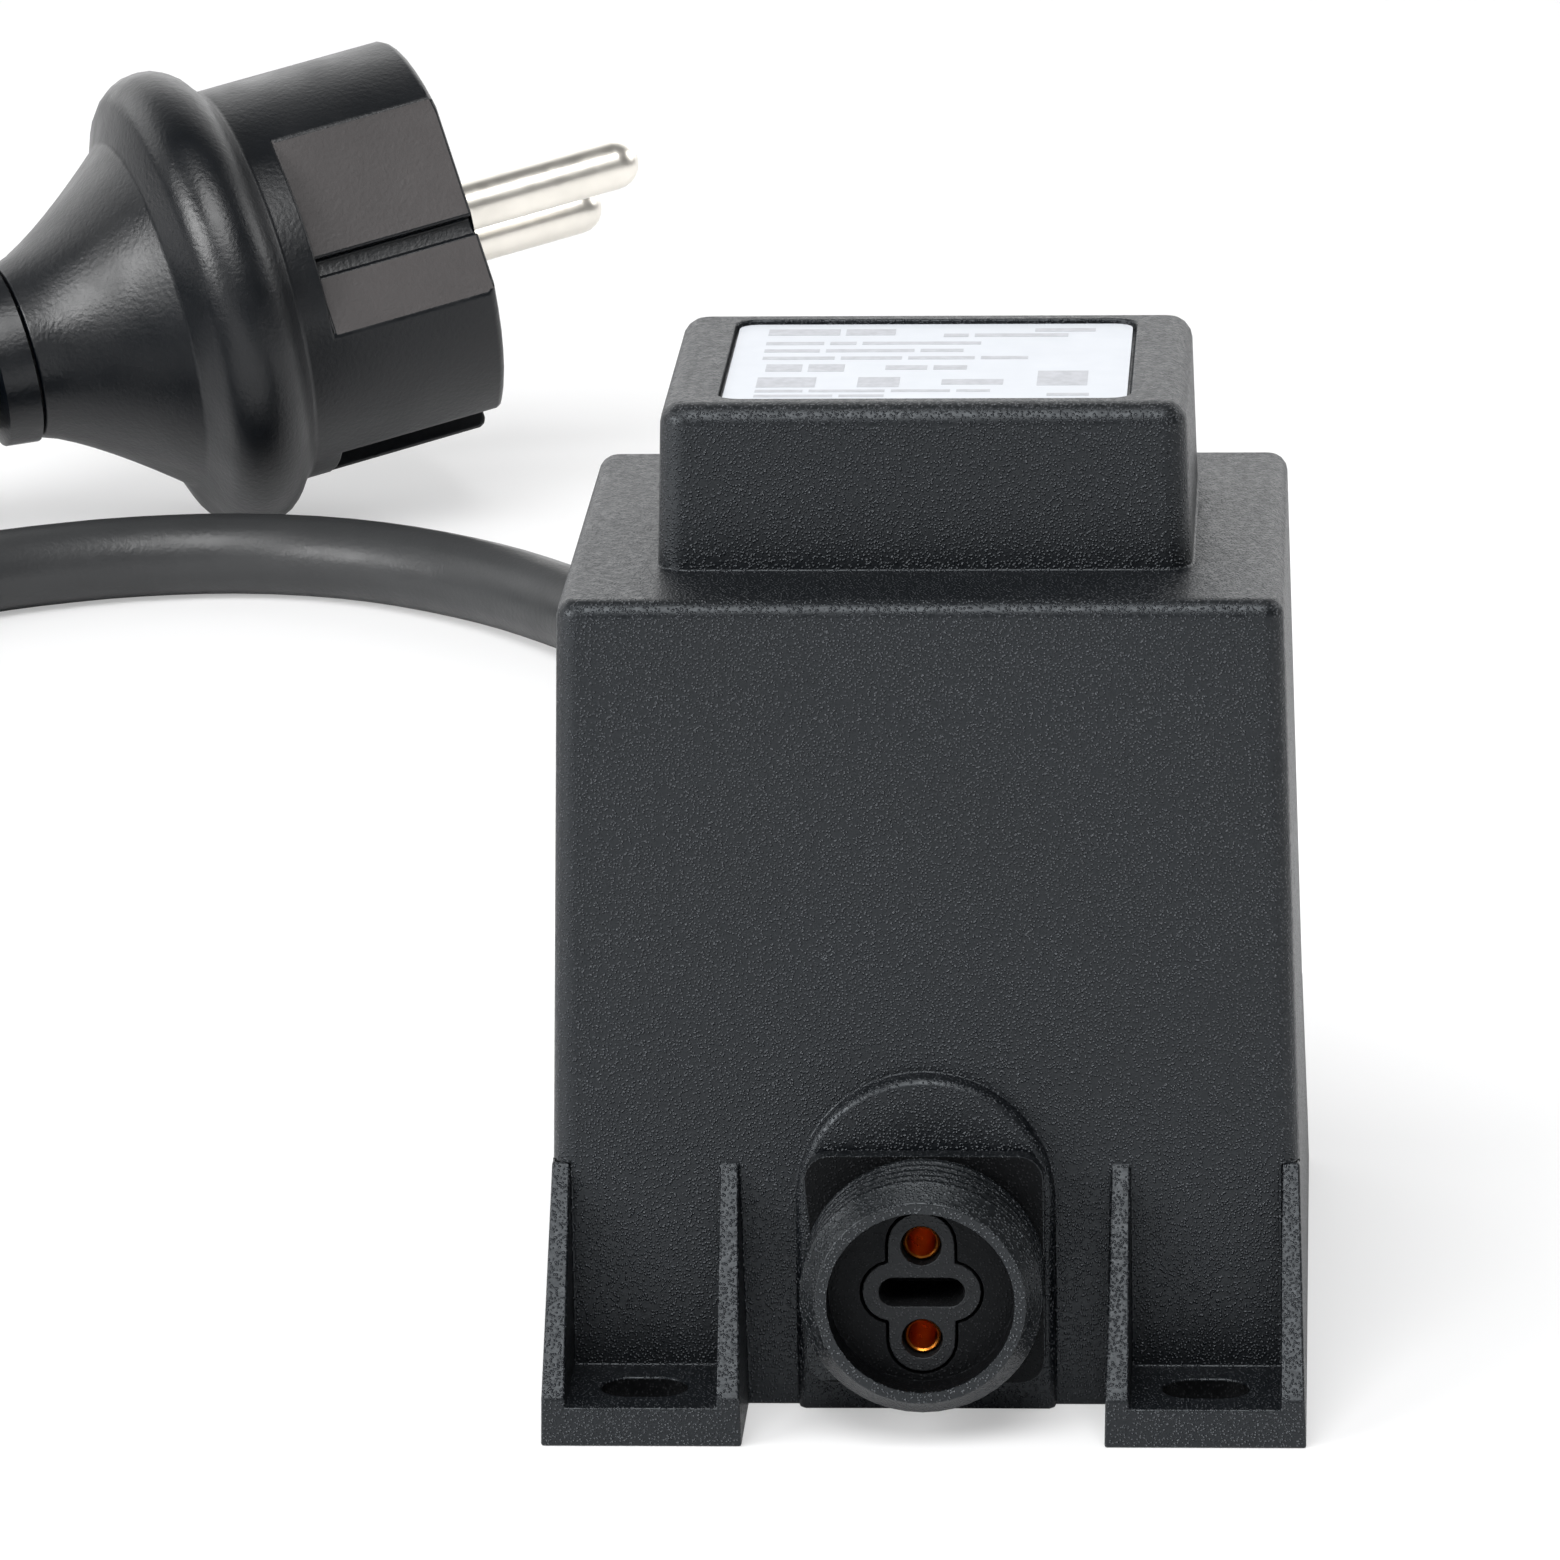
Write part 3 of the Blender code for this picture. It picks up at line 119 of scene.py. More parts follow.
# Coil of its spare length, in two layers, measured at the middle of the cord; COIL_SIDE is the radius at
# which the cord runs beside it. Angles are in degrees: where the cord comes onto the coil, and how far it
# turns while it goes down to the lower layer, while it leaves, and from one point of its route to the next
COIL_CENTRE = (-0.1780, 0.1680)
COIL_INNER = 0.0310
COIL_PITCH = 0.0079
COIL_TURNS = 2.458
COIL_OUTER = COIL_INNER + COIL_PITCH * COIL_TURNS
COIL_SIDE = 0.0590
COIL_LIFT = 0.0010
COIL_LOW = COIL_LIFT + CORD_RADIUS
COIL_TOP = COIL_LOW + COIL_PITCH
COIL_ENTRY_ANGLE = -100
COIL_DROP_ANGLE = 120
COIL_LEAVING_ANGLE = 78
COIL_STEP_ANGLE = 15

# The cord's way to the coil: steps from the exit, then x, depth and height as it sinks, then x and depth on
# the ground, then the angle round the coil in degrees with the shares of the rise and of the way inwards
EXIT_STEPS = ((0, 0, 0), (0, 0.003, 0), (0, 0.010, -0.0006))
SINKING = (
    (-0.0008, 0.0960, 0.0085),
    (-0.0025, 0.1100, 0.0058),
    (-0.0055, 0.1260, 0.0043),
)
ON_GROUND = (
    (-0.0105, 0.1440),
    (-0.0180, 0.1640),
    (-0.0275, 0.1846),
    (-0.0362, 0.1998),
    (-0.0434, 0.2097),
    (-0.0502, 0.2170),
    (-0.0586, 0.2232),
    (-0.0665, 0.2266),
    (-0.0753, 0.2278),
    (-0.0845, 0.2265),
    (-0.0917, 0.2238),
    (-0.0975, 0.2206),
    (-0.1067, 0.2136),
    (-0.1133, 0.2051),
    (-0.1174, 0.1952),
    (-0.1188, 0.1845),
    (-0.1189, 0.1775),
)
CLIMB = (
    (0, 0, 0),
    (-15, 0.05, 0),
    (-30, 0.24, 0),
    (-45, 0.58, 0.04),
    (-60, 0.86, 0.26),
    (-80, 0.99, 0.78),
)

# Plug: its pose and main sizes, as in the CAD model
PLUG_FACE = (-0.0582, 0.2628 + FACE_Y)
PLUG_HEADING = math.radians(21.8)
PLUG_TILT = math.radians(10.8)
PLUG_ROLL = math.radians(25.5)
PLUG_FLANGE_RADIUS = 0.0227
PLUG_FLANGE_PLACE = 0.0244
PLUG_FLANGE_ROUND = 0.0046
PLUG_LENGTH = 0.0726

# The plug's guide flats: their distance from its middle, and how closely a face has to lie on and along them
PLUG_FLAT_PLACE = 0.0166
PLUG_FLAT_REACH = 0.0002
PLUG_FLAT_FACING = 0.99

# Welding and smoothing of the CAD meshes. An edge is rounded where its faces meet at more than the sharp
# angle, and where it is longer than EDGE_SHARE times the rounding's reach
WELD = 0.000002
FLAT_ANGLE = math.radians(0.6)
SHARP_ANGLE = math.radians(28)
EDGE_SHARE = 1.5
EDGE_SEGMENTS = 2

# The shoulder's outer edges: their heights, and how far their rounding reaches
SHOULDER_LOW = 0.0575
SHOULDER_TOP = 0.0590
SHOULDER_EDGE = 0.0005
SHOULDER_SEGMENTS = 3

# Each node's finish: how far the rounding of its edges reaches, the angle in degrees from which two of its
# faces meet in a sharp line, and its materials
FINISHES = {
    "housing": (0.00018, 50, ("housing", "bore")),
    "rating_label": (0, 40, ("film",)),
    "socket_body": (0.00009, 32, ("collar", "bore")),
    "contact_carrier": (0.0001, 50, ("insert",)),
    "contact_sleeve_upper": (0, 35, ("brass",)),
    "contact_sleeve_lower": (0, 35, ("brass",)),
    "strain_relief": (0, 35, ("cord",)),
    "potting_resin": (0, 35, ("resin",)),
    "core_e_stack": (0, 30, ("steel",)),
    "core_i_stack": (0, 30, ("steel",)),
    "bobbin": (0, 35, ("nylon",)),
    "primary_winding": (0, 40, ("copper",)),
    "secondary_winding": (0, 40, ("copper",)),
    "primary_tape": (0, 40, ("tape",)),
    "secondary_tape": (0, 40, ("tape",)),
    "thermal_fuse": (0, 35, ("fuse can",)),
    "fuse_lead": (0, 60, ("brown lead",)),
    "primary_lead_live": (0, 60, ("brown lead",)),
    "primary_lead_neutral": (0, 60, ("blue lead",)),
    "secondary_lead_upper": (0, 60, ("black lead",)),
    "secondary_lead_lower": (0, 60, ("black lead",)),
    "cord_tie": (0.0002, 50, ("strap",)),
    "plug_body": (0.0003, 50, ("plug", "plug flat")),
    "plug_boot": (0, 35, ("plug",)),
    "plug_bridge": (0.0002, 50, ("insert",)),
    "plug_pin_a": (0, 35, ("nickel",)),
    "plug_pin_b": (0, 35, ("nickel",)),
}

# Rating plate: how thick its plain grey bars are and the gap between them, and their rows in millimetres, as
# depth from the plate's rear edge, height, left end, and the length of each bar
MM_PER_METRE = 1000
PRINT_THICKNESS = 0.00002
PRINT_GAP = 0.00045
PRINT_ROWS = (
    (1.6, 1.9, 2.2, (5.2, 3.6)),
    (1.5, 1.0, 21.6, (4.4,)),
    (3.1, 1.0, 15.0, (1.8, 6.8)),
    (5.6, 0.9, 2.2, (4.2, 1.9, 8.6)),
    (7.9, 0.9, 2.2, (4.0, 6.4, 3.1)),
    (10.2, 0.9, 2.2, (5.2, 4.4, 4.8, 3.4)),
    (12.6, 2.2, 2.6, (2.6, 2.6)),
    (13.0, 1.3, 11.2, (3.0, 2.4)),
    (16.6, 3.0, 2.2, (4.2,)),
    (16.6, 3.0, 9.4, (3.0,)),
    (17.3, 1.6, 15.4, (4.4,)),
    (14.8, 4.4, 22.2, (3.6,)),
    (20.4, 0.7, 2.2, (3.4, 5.4, 4.2, 2.4)),
    (21.9, 0.7, 2.2, (5.6, 3.2)),
    (21.6, 0.8, 23.0, (3.0,)),
)


# Shader helpers


def linear(red, green, blue):
    """A colour given in the 0 to 255 steps of a picture."""
    return tuple((c / 255) ** 2.2 for c in (red, green, blue))


def shaded(colour, factor):
    """A colour made darker or lighter."""
    return tuple(min(c * factor, 1.0) for c in colour)


class Nodes:
    """A node tree, with short calls that make nodes and join them."""

    def __init__(self, tree):
        self.tree = tree

    def feed(self, socket, value):
        """Sets a socket to a number or a colour, or joins it to another node's output."""
        if isinstance(value, bpy.types.NodeSocket):
            self.tree.links.new(value, socket)
        else:
            socket.default_value = value

    def node(self, kind, links=(), **settings):
        """A new node. A setting is one of its properties, or an input with _ for each space in its name."""
        made = self.tree.nodes.new(kind)
        for key, value in settings.items():
            if hasattr(made, key):
                setattr(made, key, value)
            else:
                made.inputs[key.replace("_", " ")].default_value = value
        for socket, source in dict(links).items():
            self.tree.links.new(source, made.inputs[socket])
        return made

    def maths(self, operation, first, second):
        """A sum, product or the like of two outputs or numbers."""
        made = self.node("ShaderNodeMath", operation=operation)
        for socket, value in zip(made.inputs, (first, second)):
            self.feed(socket, value)
        return made.outputs[0]


class Shader(Nodes):
    """A material's nodes, with short calls for the textures that are used here. Scales are per metre."""

    def __init__(self, name, colour, roughness, metallic=0.0, specular=0.5):
        self.material = bpy.data.materials.new(name)
        self.material.use_nodes = True
        super().__init__(self.material.node_tree)
        self.surface = self.tree.nodes["Principled BSDF"]
        self.put("Base Color", (*colour, 1.0))
        self.put("Roughness", roughness)
        self.put("Metallic", metallic)
        self.put("Specular IOR Level", specular)
        self.normal = None

    def put(self, socket, value):
        """Sets a socket of the surface."""
        self.feed(self.surface.inputs[socket], value)

    def place(self):
        """Where a point is on the object."""
        return self.node("ShaderNodeTexCoord").outputs["Object"]

    def noise(self, scale, detail=3.0, roughness=0.55):
        """Cloudy noise."""
        return self.node(
            "ShaderNodeTexNoise",
            {"Vector": self.place()},
            Scale=scale,
            Detail=detail,
            Roughness=roughness,
        ).outputs["Fac"]

    def cells(self, scale, smoothness=1.0):
        """Distance from the middle of rounded cells."""
        return self.node(
            "ShaderNodeTexVoronoi",
            {"Vector": self.place()},
            feature="SMOOTH_F1",
            Scale=scale,
            Smoothness=smoothness,
        ).outputs["Distance"]

    def ramp(self, source, *stops):
        """A colour or a grey level for each (position, value)."""
        made = self.node("ShaderNodeValToRGB", {"Fac": source})
        stretch = made.color_ramp.elements
        while len(stretch) < len(stops):
            stretch.new(0.5)
        for element, (position, value) in zip(stretch, stops):
            element.position = position
            colour = value if isinstance(value, tuple) else (value, value, value)
            element.color = (*colour, 1.0)
        return made.outputs["Color"]

    def multiply(self, first, second):
        """One colour times another. A mix node's colours are its inputs 6 and 7 and its output 2."""
        made = self.node("ShaderNodeMix", data_type="RGBA", blend_type="MULTIPLY")
        for socket, value in zip((made.inputs[0], made.inputs[6], made.inputs[7]), (1.0, first, second)):
            self.feed(socket, value)
        return made.outputs[2]

    def bump(self, height, distance):
        """Raises the surface by distance where height is 1, on top of any bump made before."""
        made = self.node("ShaderNodeBump", {"Height": height}, Strength=1.0, Distance=distance)
        if self.normal:
            self.tree.links.new(self.normal, made.inputs["Normal"])
        self.normal = made.outputs["Normal"]
        self.put("Normal", self.normal)


# Materials


def moulded(name, colour, roughness, grain=1.0, speckle_and_glint=0.6, specular=0.5):
    """Spark-eroded moulded plastic: a fine even grain with painted glints on the tops of its domes, on faint
    broad undulations.
    """
    made = Shader(name, colour, roughness, specular=specular)
    made.put("Specular Tint", (*COOL_TINT, 1.0))
    domes = made.ramp(made.cells(GRAIN_SCALE, 0.3), (0.12, 1.0), (0.46, 0.0))
    # Painted glints: the tops of the domes get the glint colour, and their feet are made darker
    dark = shaded(colour, 1 - speckle_and_glint)
    light = tuple(c + tip * speckle_and_glint for c, tip in zip(dark, linear(*PAINTED_GLINT_COLOUR)))
    tips = made.ramp(domes, (0.1, dark), (0.5, colour), (0.95, light))
    patches = made.ramp(made.noise(60, 2.0), (0.3, 0.86), (0.7, 1.14))
    made.put("Base Color", made.multiply(tips, patches))
    coarse = made.noise(1900, 1.0)
    made.put("Roughness", made.ramp(coarse, (0.3, roughness - 0.06), (0.7, roughness + 0.06)))
    fine = made.noise(4600, 1.0, 0.6)
    made.bump(made.noise(WALL_SCALE, 1.0), WALL_DEPTH)
    made.bump(made.maths("ADD", domes, made.maths("MULTIPLY", fine, 0.25)), GRAIN_DEPTH * grain)
    return made.material


def rubber(name, colour, roughness):
    """Soft moulded rubber: nearly smooth, with a fine bloom and faint cloudy wear."""
    made = Shader(name, colour, roughness)
    cloud = made.noise(70)
    made.put("Base Color", made.ramp(cloud, (0.32, shaded(colour, 0.88)), (0.7, shaded(colour, 1.14))))
    made.put("Roughness", made.ramp(made.noise(210), (0.3, roughness - 0.05), (0.7, roughness + 0.07)))
    made.bump(made.noise(45, 1.0), 0.00025)
    made.bump(made.noise(2200, 2.0), 0.000036)
    return made.material


def brushed(name, colour, roughness, axis, spacing, depth):
    """Metal or wire in fine parallel lines that follow each other along an axis."""
    made = Shader(name, colour, roughness, metallic=1.0)
    lines = made.node(
        "ShaderNodeTexWave",
        {"Vector": made.place()},
        bands_direction=axis,
        Scale=WAVE_WIDTH / spacing,
        Distortion=0.6,
        Detail=1.0,
    ).outputs["Fac"]
    made.put("Base Color", made.ramp(lines, (0.1, shaded(colour, 0.75)), (0.9, shaded(colour, 1.25))))
    made.put("Roughness", made.ramp(made.noise(300), (0.3, roughness * 0.8), (0.7, roughness * 1.25)))
    made.bump(lines, depth)
    return made.material


def bare_metal(name, colour, roughness):
    """Drawn or plated metal with faint tarnish and tiny scratches."""
    made = Shader(name, colour, roughness, metallic=1.0)
    made.put("Base Color", made.ramp(made.noise(300, 2.0), (0.35, shaded(colour, 0.93)), (0.65, colour)))
    made.put("Roughness", made.ramp(made.noise(900), (0.35, roughness * 0.9), (0.7, roughness * 1.15)))
    made.bump(made.noise(2600, 2.0), 0.000002)
    return made.material


def printed_film():
    """The rating plate's face: smooth bluish-white film that lies very slightly uneven."""
    made = Shader("label_film", FILM_WHITE, 0.42, specular=0.4)
    made.put("Base Color", made.ramp(made.noise(90), (0.3, shaded(FILM_WHITE, 0.975)), (0.7, FILM_WHITE)))
    made.put("Roughness", made.ramp(made.noise(500), (0.3, 0.38), (0.7, 0.46)))
    made.bump(made.noise(160, 2.0), 0.00005)
    return made.material


def print_ink():
    """Grey ink, a little uneven in its cover."""
    made = Shader("label_ink", INK_GREY, 0.5, specular=0.3)
    cover = made.noise(1500)
    made.put("Base Color", made.ramp(cover, (0.3, shaded(INK_GREY, 0.9)), (0.7, shaded(INK_GREY, 1.1))))
    return made.material


def cast_resin():
    """Black potting resin, glossy and slightly wavy where it set."""
    black = (0.010, 0.010, 0.011)
    made = Shader("cast_resin", black, 0.16)
    made.put("Base Color", made.ramp(made.noise(120, 4.0), (0.4, black), (0.75, (0.020, 0.020, 0.022))))
    made.put("Roughness", made.ramp(made.noise(260), (0.35, 0.12), (0.7, 0.34)))
    made.bump(made.noise(85, 1.0), 0.0006)
    made.bump(made.noise(700, 2.0), 0.00005)
    return made.material


def woven_strap():
    """Hook-and-loop strap: rows of tiny loops."""
    made = Shader("woven_strap", (0.02, 0.02, 0.022), 0.85, specular=0.2)
    made.put("Sheen Weight", 0.3)
    loops = made.cells(1900)
    made.put("Base Color", made.ramp(loops, (0.1, (0.035, 0.035, 0.038)), (0.7, (0.010, 0.010, 0.011))))
    made.bump(loops, 0.0003)
    return made.material


def plain_moulding(name, colour, roughness, scale=260, depth=0.00004):
    """Plain moulded or drawn plastic with slight clouds in its colour and gloss."""
    made = Shader(name, colour, roughness)
    cloud = made.noise(scale)
    made.put("Base Color", made.ramp(cloud, (0.3, shaded(colour, 0.9)), (0.7, shaded(colour, 1.1))))
    gloss = made.noise(scale * 3)
    made.put("Roughness", made.ramp(gloss, (0.3, roughness - 0.05), (0.7, roughness + 0.05)))
    made.bump(made.noise(scale * 4), depth)
    return made.material


def make_materials():
    """The materials, by the names that the finishes have for them."""
    return {
        "housing": moulded("housing_plastic", linear(7, 14, 21), 0.42),
        "collar": moulded("collar_plastic", linear(15, 19, 23), 0.34, grain=0.9),
        # Darker and less glossy than the collar: painted shade for the inside of the collar and the walls of
        # the screw holes
        "bore": moulded("bore_painted_shade", linear(12, 12, 13), 0.5, grain=0.3, speckle_and_glint=0.15, specular=0.15),
        "insert": moulded("insert_plastic", linear(24, 24, 25), 0.5, grain=0.4, speckle_and_glint=0.3, specular=0.35),
        "cord": rubber("cord_rubber", linear(52, 53, 54), 0.40),
        "plug": rubber("plug_rubber", linear(9, 14, 19), 0.34),
        # Lighter than the rest of the plug: partly a more matt finish, partly painted light that the flats
        # catch
        "plug flat": rubber("plug_flat_rubber_and_painted_light", linear(64, 61, 61), 0.55),
        "brass": bare_metal("contact_brass", (0.60, 0.20, 0.03), 0.3),
        "nickel": bare_metal("pin_metal", (0.97, 0.93, 0.85), 0.32),
        "fuse can": bare_metal("fuse_can", (0.62, 0.62, 0.60), 0.35),
        "steel": brushed("lamination_steel", (0.32, 0.33, 0.35), 0.42, "Y", 0.0005, 0.00008),
        "copper": brushed("winding_wire", (0.70, 0.27, 0.12), 0.3, "X", 0.00045, 0.0002),
        "nylon": plain_moulding("bobbin_nylon", (0.75, 0.73, 0.66), 0.5),
        "tape": plain_moulding("winding_tape", (0.80, 0.62, 0.12), 0.3, 140, 0.0001),
        "brown lead": plain_moulding("lead_brown", (0.16, 0.06, 0.025), 0.45),
        "blue lead": plain_moulding("lead_blue", (0.03, 0.12, 0.42), 0.45),
        "black lead": plain_moulding("lead_black", (0.03, 0.03, 0.03), 0.45),
        "film": printed_film(),
        "ink": print_ink(),
        "resin": cast_resin(),
        "strap": woven_strap(),
    }


# Camera, floor and light


def add_object(name, data):
    """A new object in the scene."""
    made = bpy.data.objects.new(name, data)
    bpy.context.scene.collection.objects.link(made)
    return made


def camera_axes():
    """The camera's directions to the right, up and forward."""
    forward = Vector((math.sin(YAW) * math.cos(PITCH), math.cos(YAW) * math.cos(PITCH), -math.sin(PITCH)))
    right = Vector((math.cos(YAW), -math.sin(YAW), 0.0))
    up = right.cross(forward)
    turned_right = math.cos(ROLL) * right + math.sin(ROLL) * up
    turned_up = math.cos(ROLL) * up - math.sin(ROLL) * right
    return turned_right, turned_up, forward


def make_camera():
    """The photograph's view."""
    data = bpy.data.cameras.new("camera")
    data.sensor_width = SENSOR_MM
    data.lens = SENSOR_MM * FOCAL_PIXELS / PHOTO_PIXELS
    data.clip_start = CLIP_START
    data.clip_end = CLIP_END
    made = add_object("camera", data)
    right, up, forward = camera_axes()
    turn = Matrix((right, up, -forward)).transposed().to_4x4()
    made.matrix_world = Matrix.Translation(EYE) @ turn
    bpy.context.scene.camera = made


def make_floor():
    """A wide white floor. To the camera, part of its white is its own, so that its shadows stay pale."""
    mesh = bpy.data.meshes.new("floor")
    corners = [(x * FLOOR_HALF, y * FLOOR_HALF, 0) for x, y in ((-1, -1), (1, -1), (1, 1), (-1, 1))]
    mesh.from_pydata(corners, [], [(0, 1, 2, 3)])
    made = add_object("floor", mesh)
    paint = Shader("floor_white", FLOOR_WHITE, 0.6, specular=0.2)
    rays = paint.node("ShaderNodeLightPath")
    share = paint.maths("MULTIPLY", rays.outputs["Is Camera Ray"], FLOOR_OWN_WHITE)
    glow = paint.node("ShaderNodeEmission", Strength=FLOOR_GLOW)
    mixed = paint.node("ShaderNodeMixShader")
    for socket, source in zip(mixed.inputs, (share, paint.surface.outputs[0], glow.outputs[0])):
        paint.feed(socket, source)
    paint.feed(paint.tree.nodes["Material Output"].inputs["Surface"], mixed.outputs[0])
    mesh.materials.append(paint.material)


def make_world():
    """A white studio that is dim on the camera's side and bright at the back. The camera sees it as white."""
    world = bpy.data.worlds.new("studio")
    bpy.context.scene.world = world
    world.use_nodes = True
    made = Nodes(world.node_tree)
    direction = made.node("ShaderNodeTexCoord").outputs["Generated"]
    parts = made.node("ShaderNodeSeparateXYZ", {"Vector": direction})
    level = made.node(
        "ShaderNodeMapRange",
        {"Value": parts.outputs["Y"]},
        interpolation_type="SMOOTHSTEP",
        From_Min=WORLD_TURN[0],
        From_Max=WORLD_TURN[1],
        To_Min=WORLD_FRONT,
        To_Max=WORLD_REAR,
    )
    rays = made.node("ShaderNodeLightPath")
    strength = made.maths("MAXIMUM", rays.outputs["Is Camera Ray"], level.outputs[0])
    background = made.tree.nodes["Background"]
    made.feed(background.inputs["Strength"], strength)
    made.feed(background.inputs["Color"], (1, 1, 1, 1))


def make_lamps():
    """The key lamp high in front, and weaker ones at the left, the right and the rear left."""
    for name, (place, target, width, height, power) in LAMPS.items():
        data = bpy.data.lights.new(name, "AREA")
        data.shape = "RECTANGLE"
        data.size = width
        data.size_y = height
        data.energy = power
        made = add_object(name, data)
        made.location = place
        made.rotation_euler = (Vector(target) - Vector(place)).to_track_quat("-Z", "Y").to_euler()


# Mains cord


def at_face(x, depth, z):
    """A point given by its depth behind the foot of the housing's front wall."""
    return Vector((x, depth + FACE_Y, z))


def around_coil(angle, radius, z):
    """A point at an angle in degrees and a radius from the coil's centre."""
    turn = math.radians(angle)
    x, depth = COIL_CENTRE
    return at_face(x + radius * math.cos(turn), depth + radius * math.sin(turn), z)


def eased(share):
    """A share from 0 to 1 that starts and ends slowly."""
    share = min(max(share, 0.0), 1.0)
    return share * share * (3 - 2 * share)


def approach():
    """From the strain relief along the ground to the coil, and up its side."""
    laid = CORD_RADIUS + CORD_LIFT
    points = [Vector(EXIT) + Vector(step) for step in EXIT_STEPS]
    points += [at_face(*place) for place in SINKING]
    points += [at_face(*place, laid) for place in ON_GROUND]
    for angle, rise, inwards in CLIMB:
        radius = COIL_SIDE + (COIL_OUTER - COIL_SIDE) * inwards
        points.append(around_coil(angle, radius, laid + (COIL_TOP - laid) * rise))
    return points


def coil():
    """Inward on the top layer, down at the inside, and outward on the ground."""
    layer = COIL_TURNS * 360
    total = 2 * layer + COIL_DROP_ANGLE + COIL_LEAVING_ANGLE
    steps = round(total / COIL_STEP_ANGLE)
    points = []
    for k in range(steps + 1):
        passed = total * k / steps
        if passed < layer:
            radius, z = COIL_OUTER - COIL_PITCH * passed / 360, COIL_TOP
        elif passed < layer + COIL_DROP_ANGLE:
            radius, z = COIL_INNER, COIL_TOP - COIL_PITCH * eased((passed - layer) / COIL_DROP_ANGLE)
        else:
            beyond = passed - layer - COIL_DROP_ANGLE
            radius, z = COIL_INNER + COIL_PITCH * min(beyond, layer) / 360, COIL_LOW
            radius += (COIL_SIDE - COIL_OUTER) * eased((beyond - layer) / COIL_LEAVING_ANGLE)
        points.append(around_coil(COIL_ENTRY_ANGLE - passed, radius, z))
    return points


def plug_line():
    """The middle of the plug's face, and the direction towards its pins."""
    level = math.cos(PLUG_TILT)
    axis = Vector((level * math.cos(PLUG_HEADING), level * math.sin(PLUG_HEADING), math.sin(PLUG_TILT)))
    height = (PLUG_FLANGE_RADIUS - PLUG_FLANGE_ROUND) * level + PLUG_FLANGE_ROUND
    return Vector((*PLUG_FACE, height + PLUG_FLANGE_PLACE * axis.z)), axis


def to_plug():
    """From the coil's lowest outer turn up to the end of the plug's boot."""
    face, axis = plug_line()
    end = face - PLUG_LENGTH * axis
    return [
        at_face(-0.1690, 0.2270, COIL_LOW + 0.0008),
        at_face(-0.1580, 0.2268, COIL_LOW + 0.0025),
        end - 0.019 * axis + Vector((0.0, 0.0006, 0.0)),
        end - 0.010 * axis,
        end - 0.003 * axis,
        end,
    ]


def spline_point(a, b, c, d, t):
    """The point at the share t of the way from b to c, on the smooth curve through all four."""
    straight = 2 * b + (c - a) * t
    bent = (2 * a - 5 * b + 4 * c - d) * t**2
    twisted = (3 * b - a - 3 * c + d) * t**3
    return 0.5 * (straight + bent + twisted)


def smooth_route(route, step):
    """Points about a step apart on the smooth curve through a route's own points."""
    padded = [2 * route[0] - route[1], *route, 2 * route[-1] - route[-2]]
    fine = [
        spline_point(*four, k / SPLINE_STEPS)
        for four in zip(padded, padded[1:], padded[2:], padded[3:])
        for k in range(SPLINE_STEPS)
    ]
    kept = [fine[0]]
    for point in fine[1:]:
        if (point - kept[-1]).length >= step:
            kept.append(point)
    kept.append(route[-1])
    return kept


def make_cord(material):
    """The whole mains cord as one piece."""
    route = smooth_route(approach() + coil() + to_plug(), CORD_STEP)
    curve = bpy.data.curves.new("mains_cord_run", "CURVE")
    curve.dimensions = "3D"
    curve.bevel_depth = CORD_RADIUS
    curve.bevel_resolution = CORD_BEVEL_STEPS
    curve.use_fill_caps = True
    curve.materials.append(material)
    spline = curve.splines.new("POLY")
    spline.points.add(len(route) - 1)
    for place, point in zip(spline.points, route):
        place.co = (*point, 1.0)
    made = add_object("mains_cord_run", curve)
    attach(made, "root")
    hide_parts("mains_cord", "cord_coil", "mains_cord_tail")


# The CAD nodes, each as a welded and smoothed copy with slightly rounded edges


def is_sharp(edge):
    """Whether an edge's two faces meet at more than the sharp angle."""
    return edge.is_manifold and edge.calc_face_angle() > SHARP_ANGLE


def on_shoulder(edge):
    """Whether an edge lies at the height of the shoulder's outer edges."""
    return all(SHOULDER_LOW < vertex.co.z < SHOULDER_TOP for vertex in edge.verts)


def round_edges(work, edges, reach, segments):
    """Rounds edges as far as reach to each side."""
    bmesh.ops.bevel(
        work,
        geom=edges,
        offset=reach,
        segments=segments,
        profile=0.5,
        affect="EDGES",
        clamp_overlap=False,
    )


def open_mesh(node, reach):
    """A node's faces joined into one skin, flat areas made whole, and its sharp edges rounded."""
    work = bmesh.new()
    work.from_mesh(nodes[node].data)
    bmesh.ops.remove_doubles(work, verts=work.verts, dist=WELD)
    bmesh.ops.dissolve_limit(work, angle_limit=FLAT_ANGLE, verts=work.verts, edges=work.edges)
    if node == "housing":
        # The shoulder's edges are rounder than the rest, and catch the light
        rim = [e for e in work.edges if is_sharp(e) and e.is_convex and on_shoulder(e)]
        round_edges(work, rim, SHOULDER_EDGE, SHOULDER_SEGMENTS)
    if reach:
        sharp = [e for e in work.edges if is_sharp(e) and e.calc_length() > EDGE_SHARE * reach]
        round_edges(work, sharp, reach, EDGE_SEGMENTS)
    return work


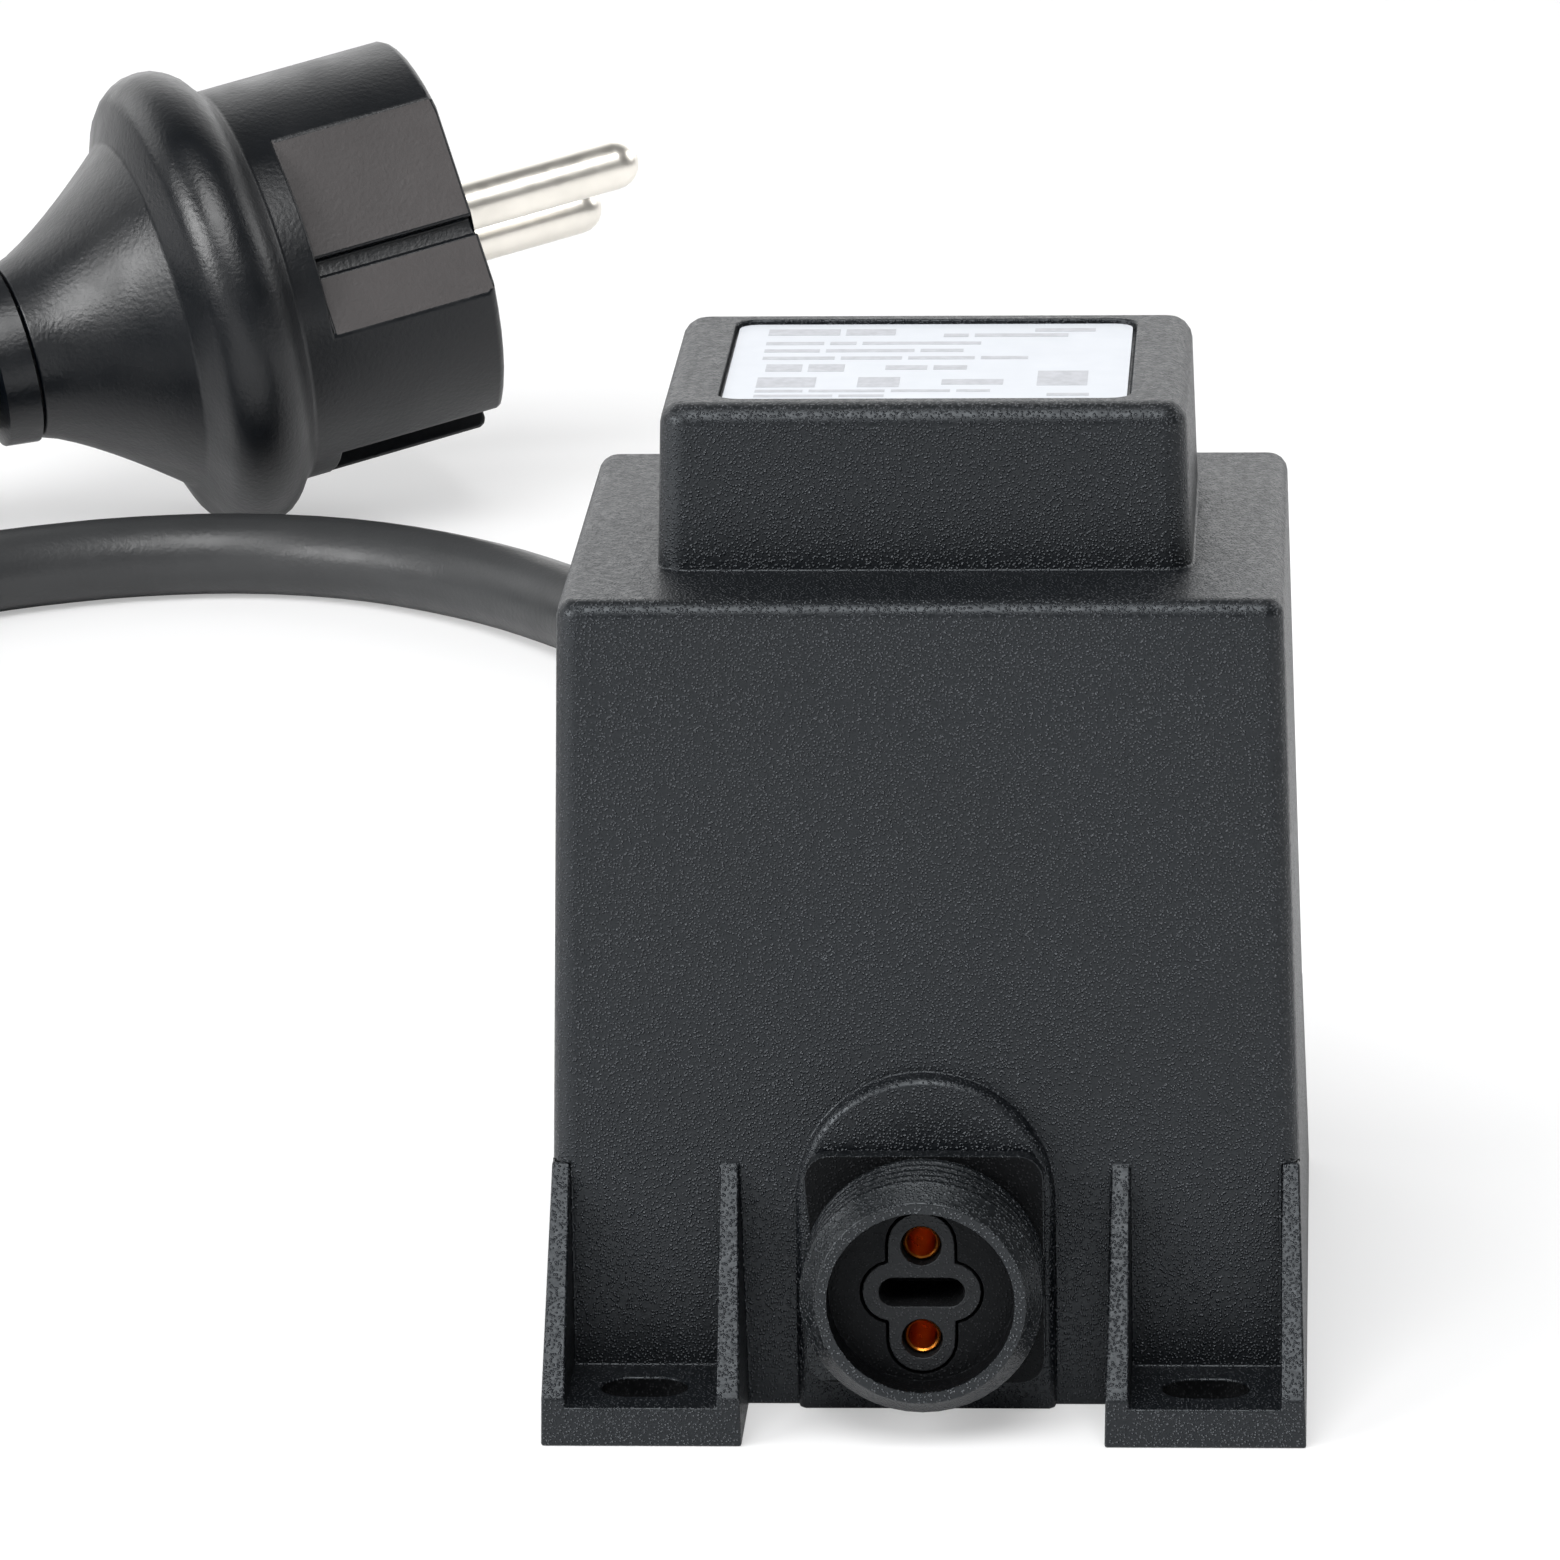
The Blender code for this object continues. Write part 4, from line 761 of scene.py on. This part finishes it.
def finished(node, reach, angle, materials):
    """Replaces a node with its smoothed copy."""
    work = open_mesh(node, reach)
    mesh = bpy.data.meshes.new(f"{node}_finished")
    work.to_mesh(mesh)
    work.free()
    custom = mesh.attributes.get("custom_normal")
    if custom:
        mesh.attributes.remove(custom)
    mesh.shade_smooth()
    mesh.set_sharp_from_angle(angle=math.radians(angle))
    mesh.materials.clear()
    for material in materials:
        mesh.materials.append(material)
    made = add_object(f"{node}_finished", mesh)
    normals = made.modifiers.new("normals", "WEIGHTED_NORMAL")
    normals.keep_sharp = True
    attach(made, "root")
    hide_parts(node)
    return made


def mark_faces(piece, wanted):
    """Gives the faces that are wanted the piece's second material."""
    for polygon in piece.data.polygons:
        if wanted(polygon):
            polygon.material_index = 1


def mark_plug_flats(body):
    """The two guide flats of the plug have their own, more matt finish, whose lighter colour is partly painted
    light that they catch.
    """
    face, axis = plug_line()
    side = axis.cross(Vector((0, 0, 1))).normalized()
    pins = math.cos(PLUG_ROLL) * side + math.sin(PLUG_ROLL) * side.cross(axis)

    def on_flat(polygon):
        out = abs((polygon.center - face).dot(pins))
        facing = abs(polygon.normal.dot(pins))
        return facing > PLUG_FLAT_FACING and abs(out - PLUG_FLAT_PLACE) < PLUG_FLAT_REACH

    mark_faces(body, on_flat)


def mark_bore(socket):
    """The inside of the socket's collar gets the darker material that paints the shade inside it."""
    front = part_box("socket_body")[0][1]

    def in_bore(polygon):
        x, y, z = polygon.center
        return math.hypot(x, z - AXIS_HEIGHT) < BORE_RADIUS and y > front + BORE_LIP

    mark_faces(socket, in_bore)


def mark_screw_holes(housing):
    """The walls of the four screw holes get that painted shade too."""
    low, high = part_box("housing")
    middle_y = (low[1] + high[1]) / 2

    def in_hole(polygon):
        x, y, z = polygon.center
        from_hole = math.hypot(abs(x) - SCREW_HOLE_X, abs(y - middle_y) - SCREW_HOLE_Y)
        return z < SHELF_HEIGHT and abs(polygon.normal.z) < SCREW_HOLE_TILT and from_hole < SCREW_HOLE_REACH

    mark_faces(housing, in_hole)


def make_print(ink):
    """Plain grey bars on the rating plate."""
    low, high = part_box("rating_label")
    work = bmesh.new()
    for down, height, left, lengths in PRINT_ROWS:
        x = low[0] + left / MM_PER_METRE
        rear = high[1] - down / MM_PER_METRE
        for length in lengths:
            bar = bmesh.ops.create_cube(work, size=1.0)["verts"]
            size = Vector((length / MM_PER_METRE, height / MM_PER_METRE, PRINT_THICKNESS))
            middle = Vector((x + size.x / 2, rear - size.y / 2, high[2] + PRINT_THICKNESS / 2))
            for vertex in bar:
                vertex.co = middle + Vector(c * d for c, d in zip(vertex.co, size))
            x += size.x + PRINT_GAP
    mesh = bpy.data.meshes.new("label_print")
    work.to_mesh(mesh)
    work.free()
    mesh.materials.append(ink)
    made = add_object("label_print", mesh)
    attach(made, "root")


def make_pieces():
    """Every piece that shows in place of the CAD nodes."""
    materials = make_materials()
    pieces = {}
    for node, (reach, angle, names) in FINISHES.items():
        pieces[node] = finished(node, reach, angle, [materials[name] for name in names])
    mark_plug_flats(pieces["plug_body"])
    mark_bore(pieces["socket_body"])
    mark_screw_holes(pieces["housing"])
    make_print(materials["ink"])
    make_cord(materials["cord"])


def main():
    """The whole scene."""
    bpy.context.scene.view_settings.view_transform = "Standard"
    make_camera()
    make_floor()
    make_world()
    make_lamps()
    make_pieces()


main()
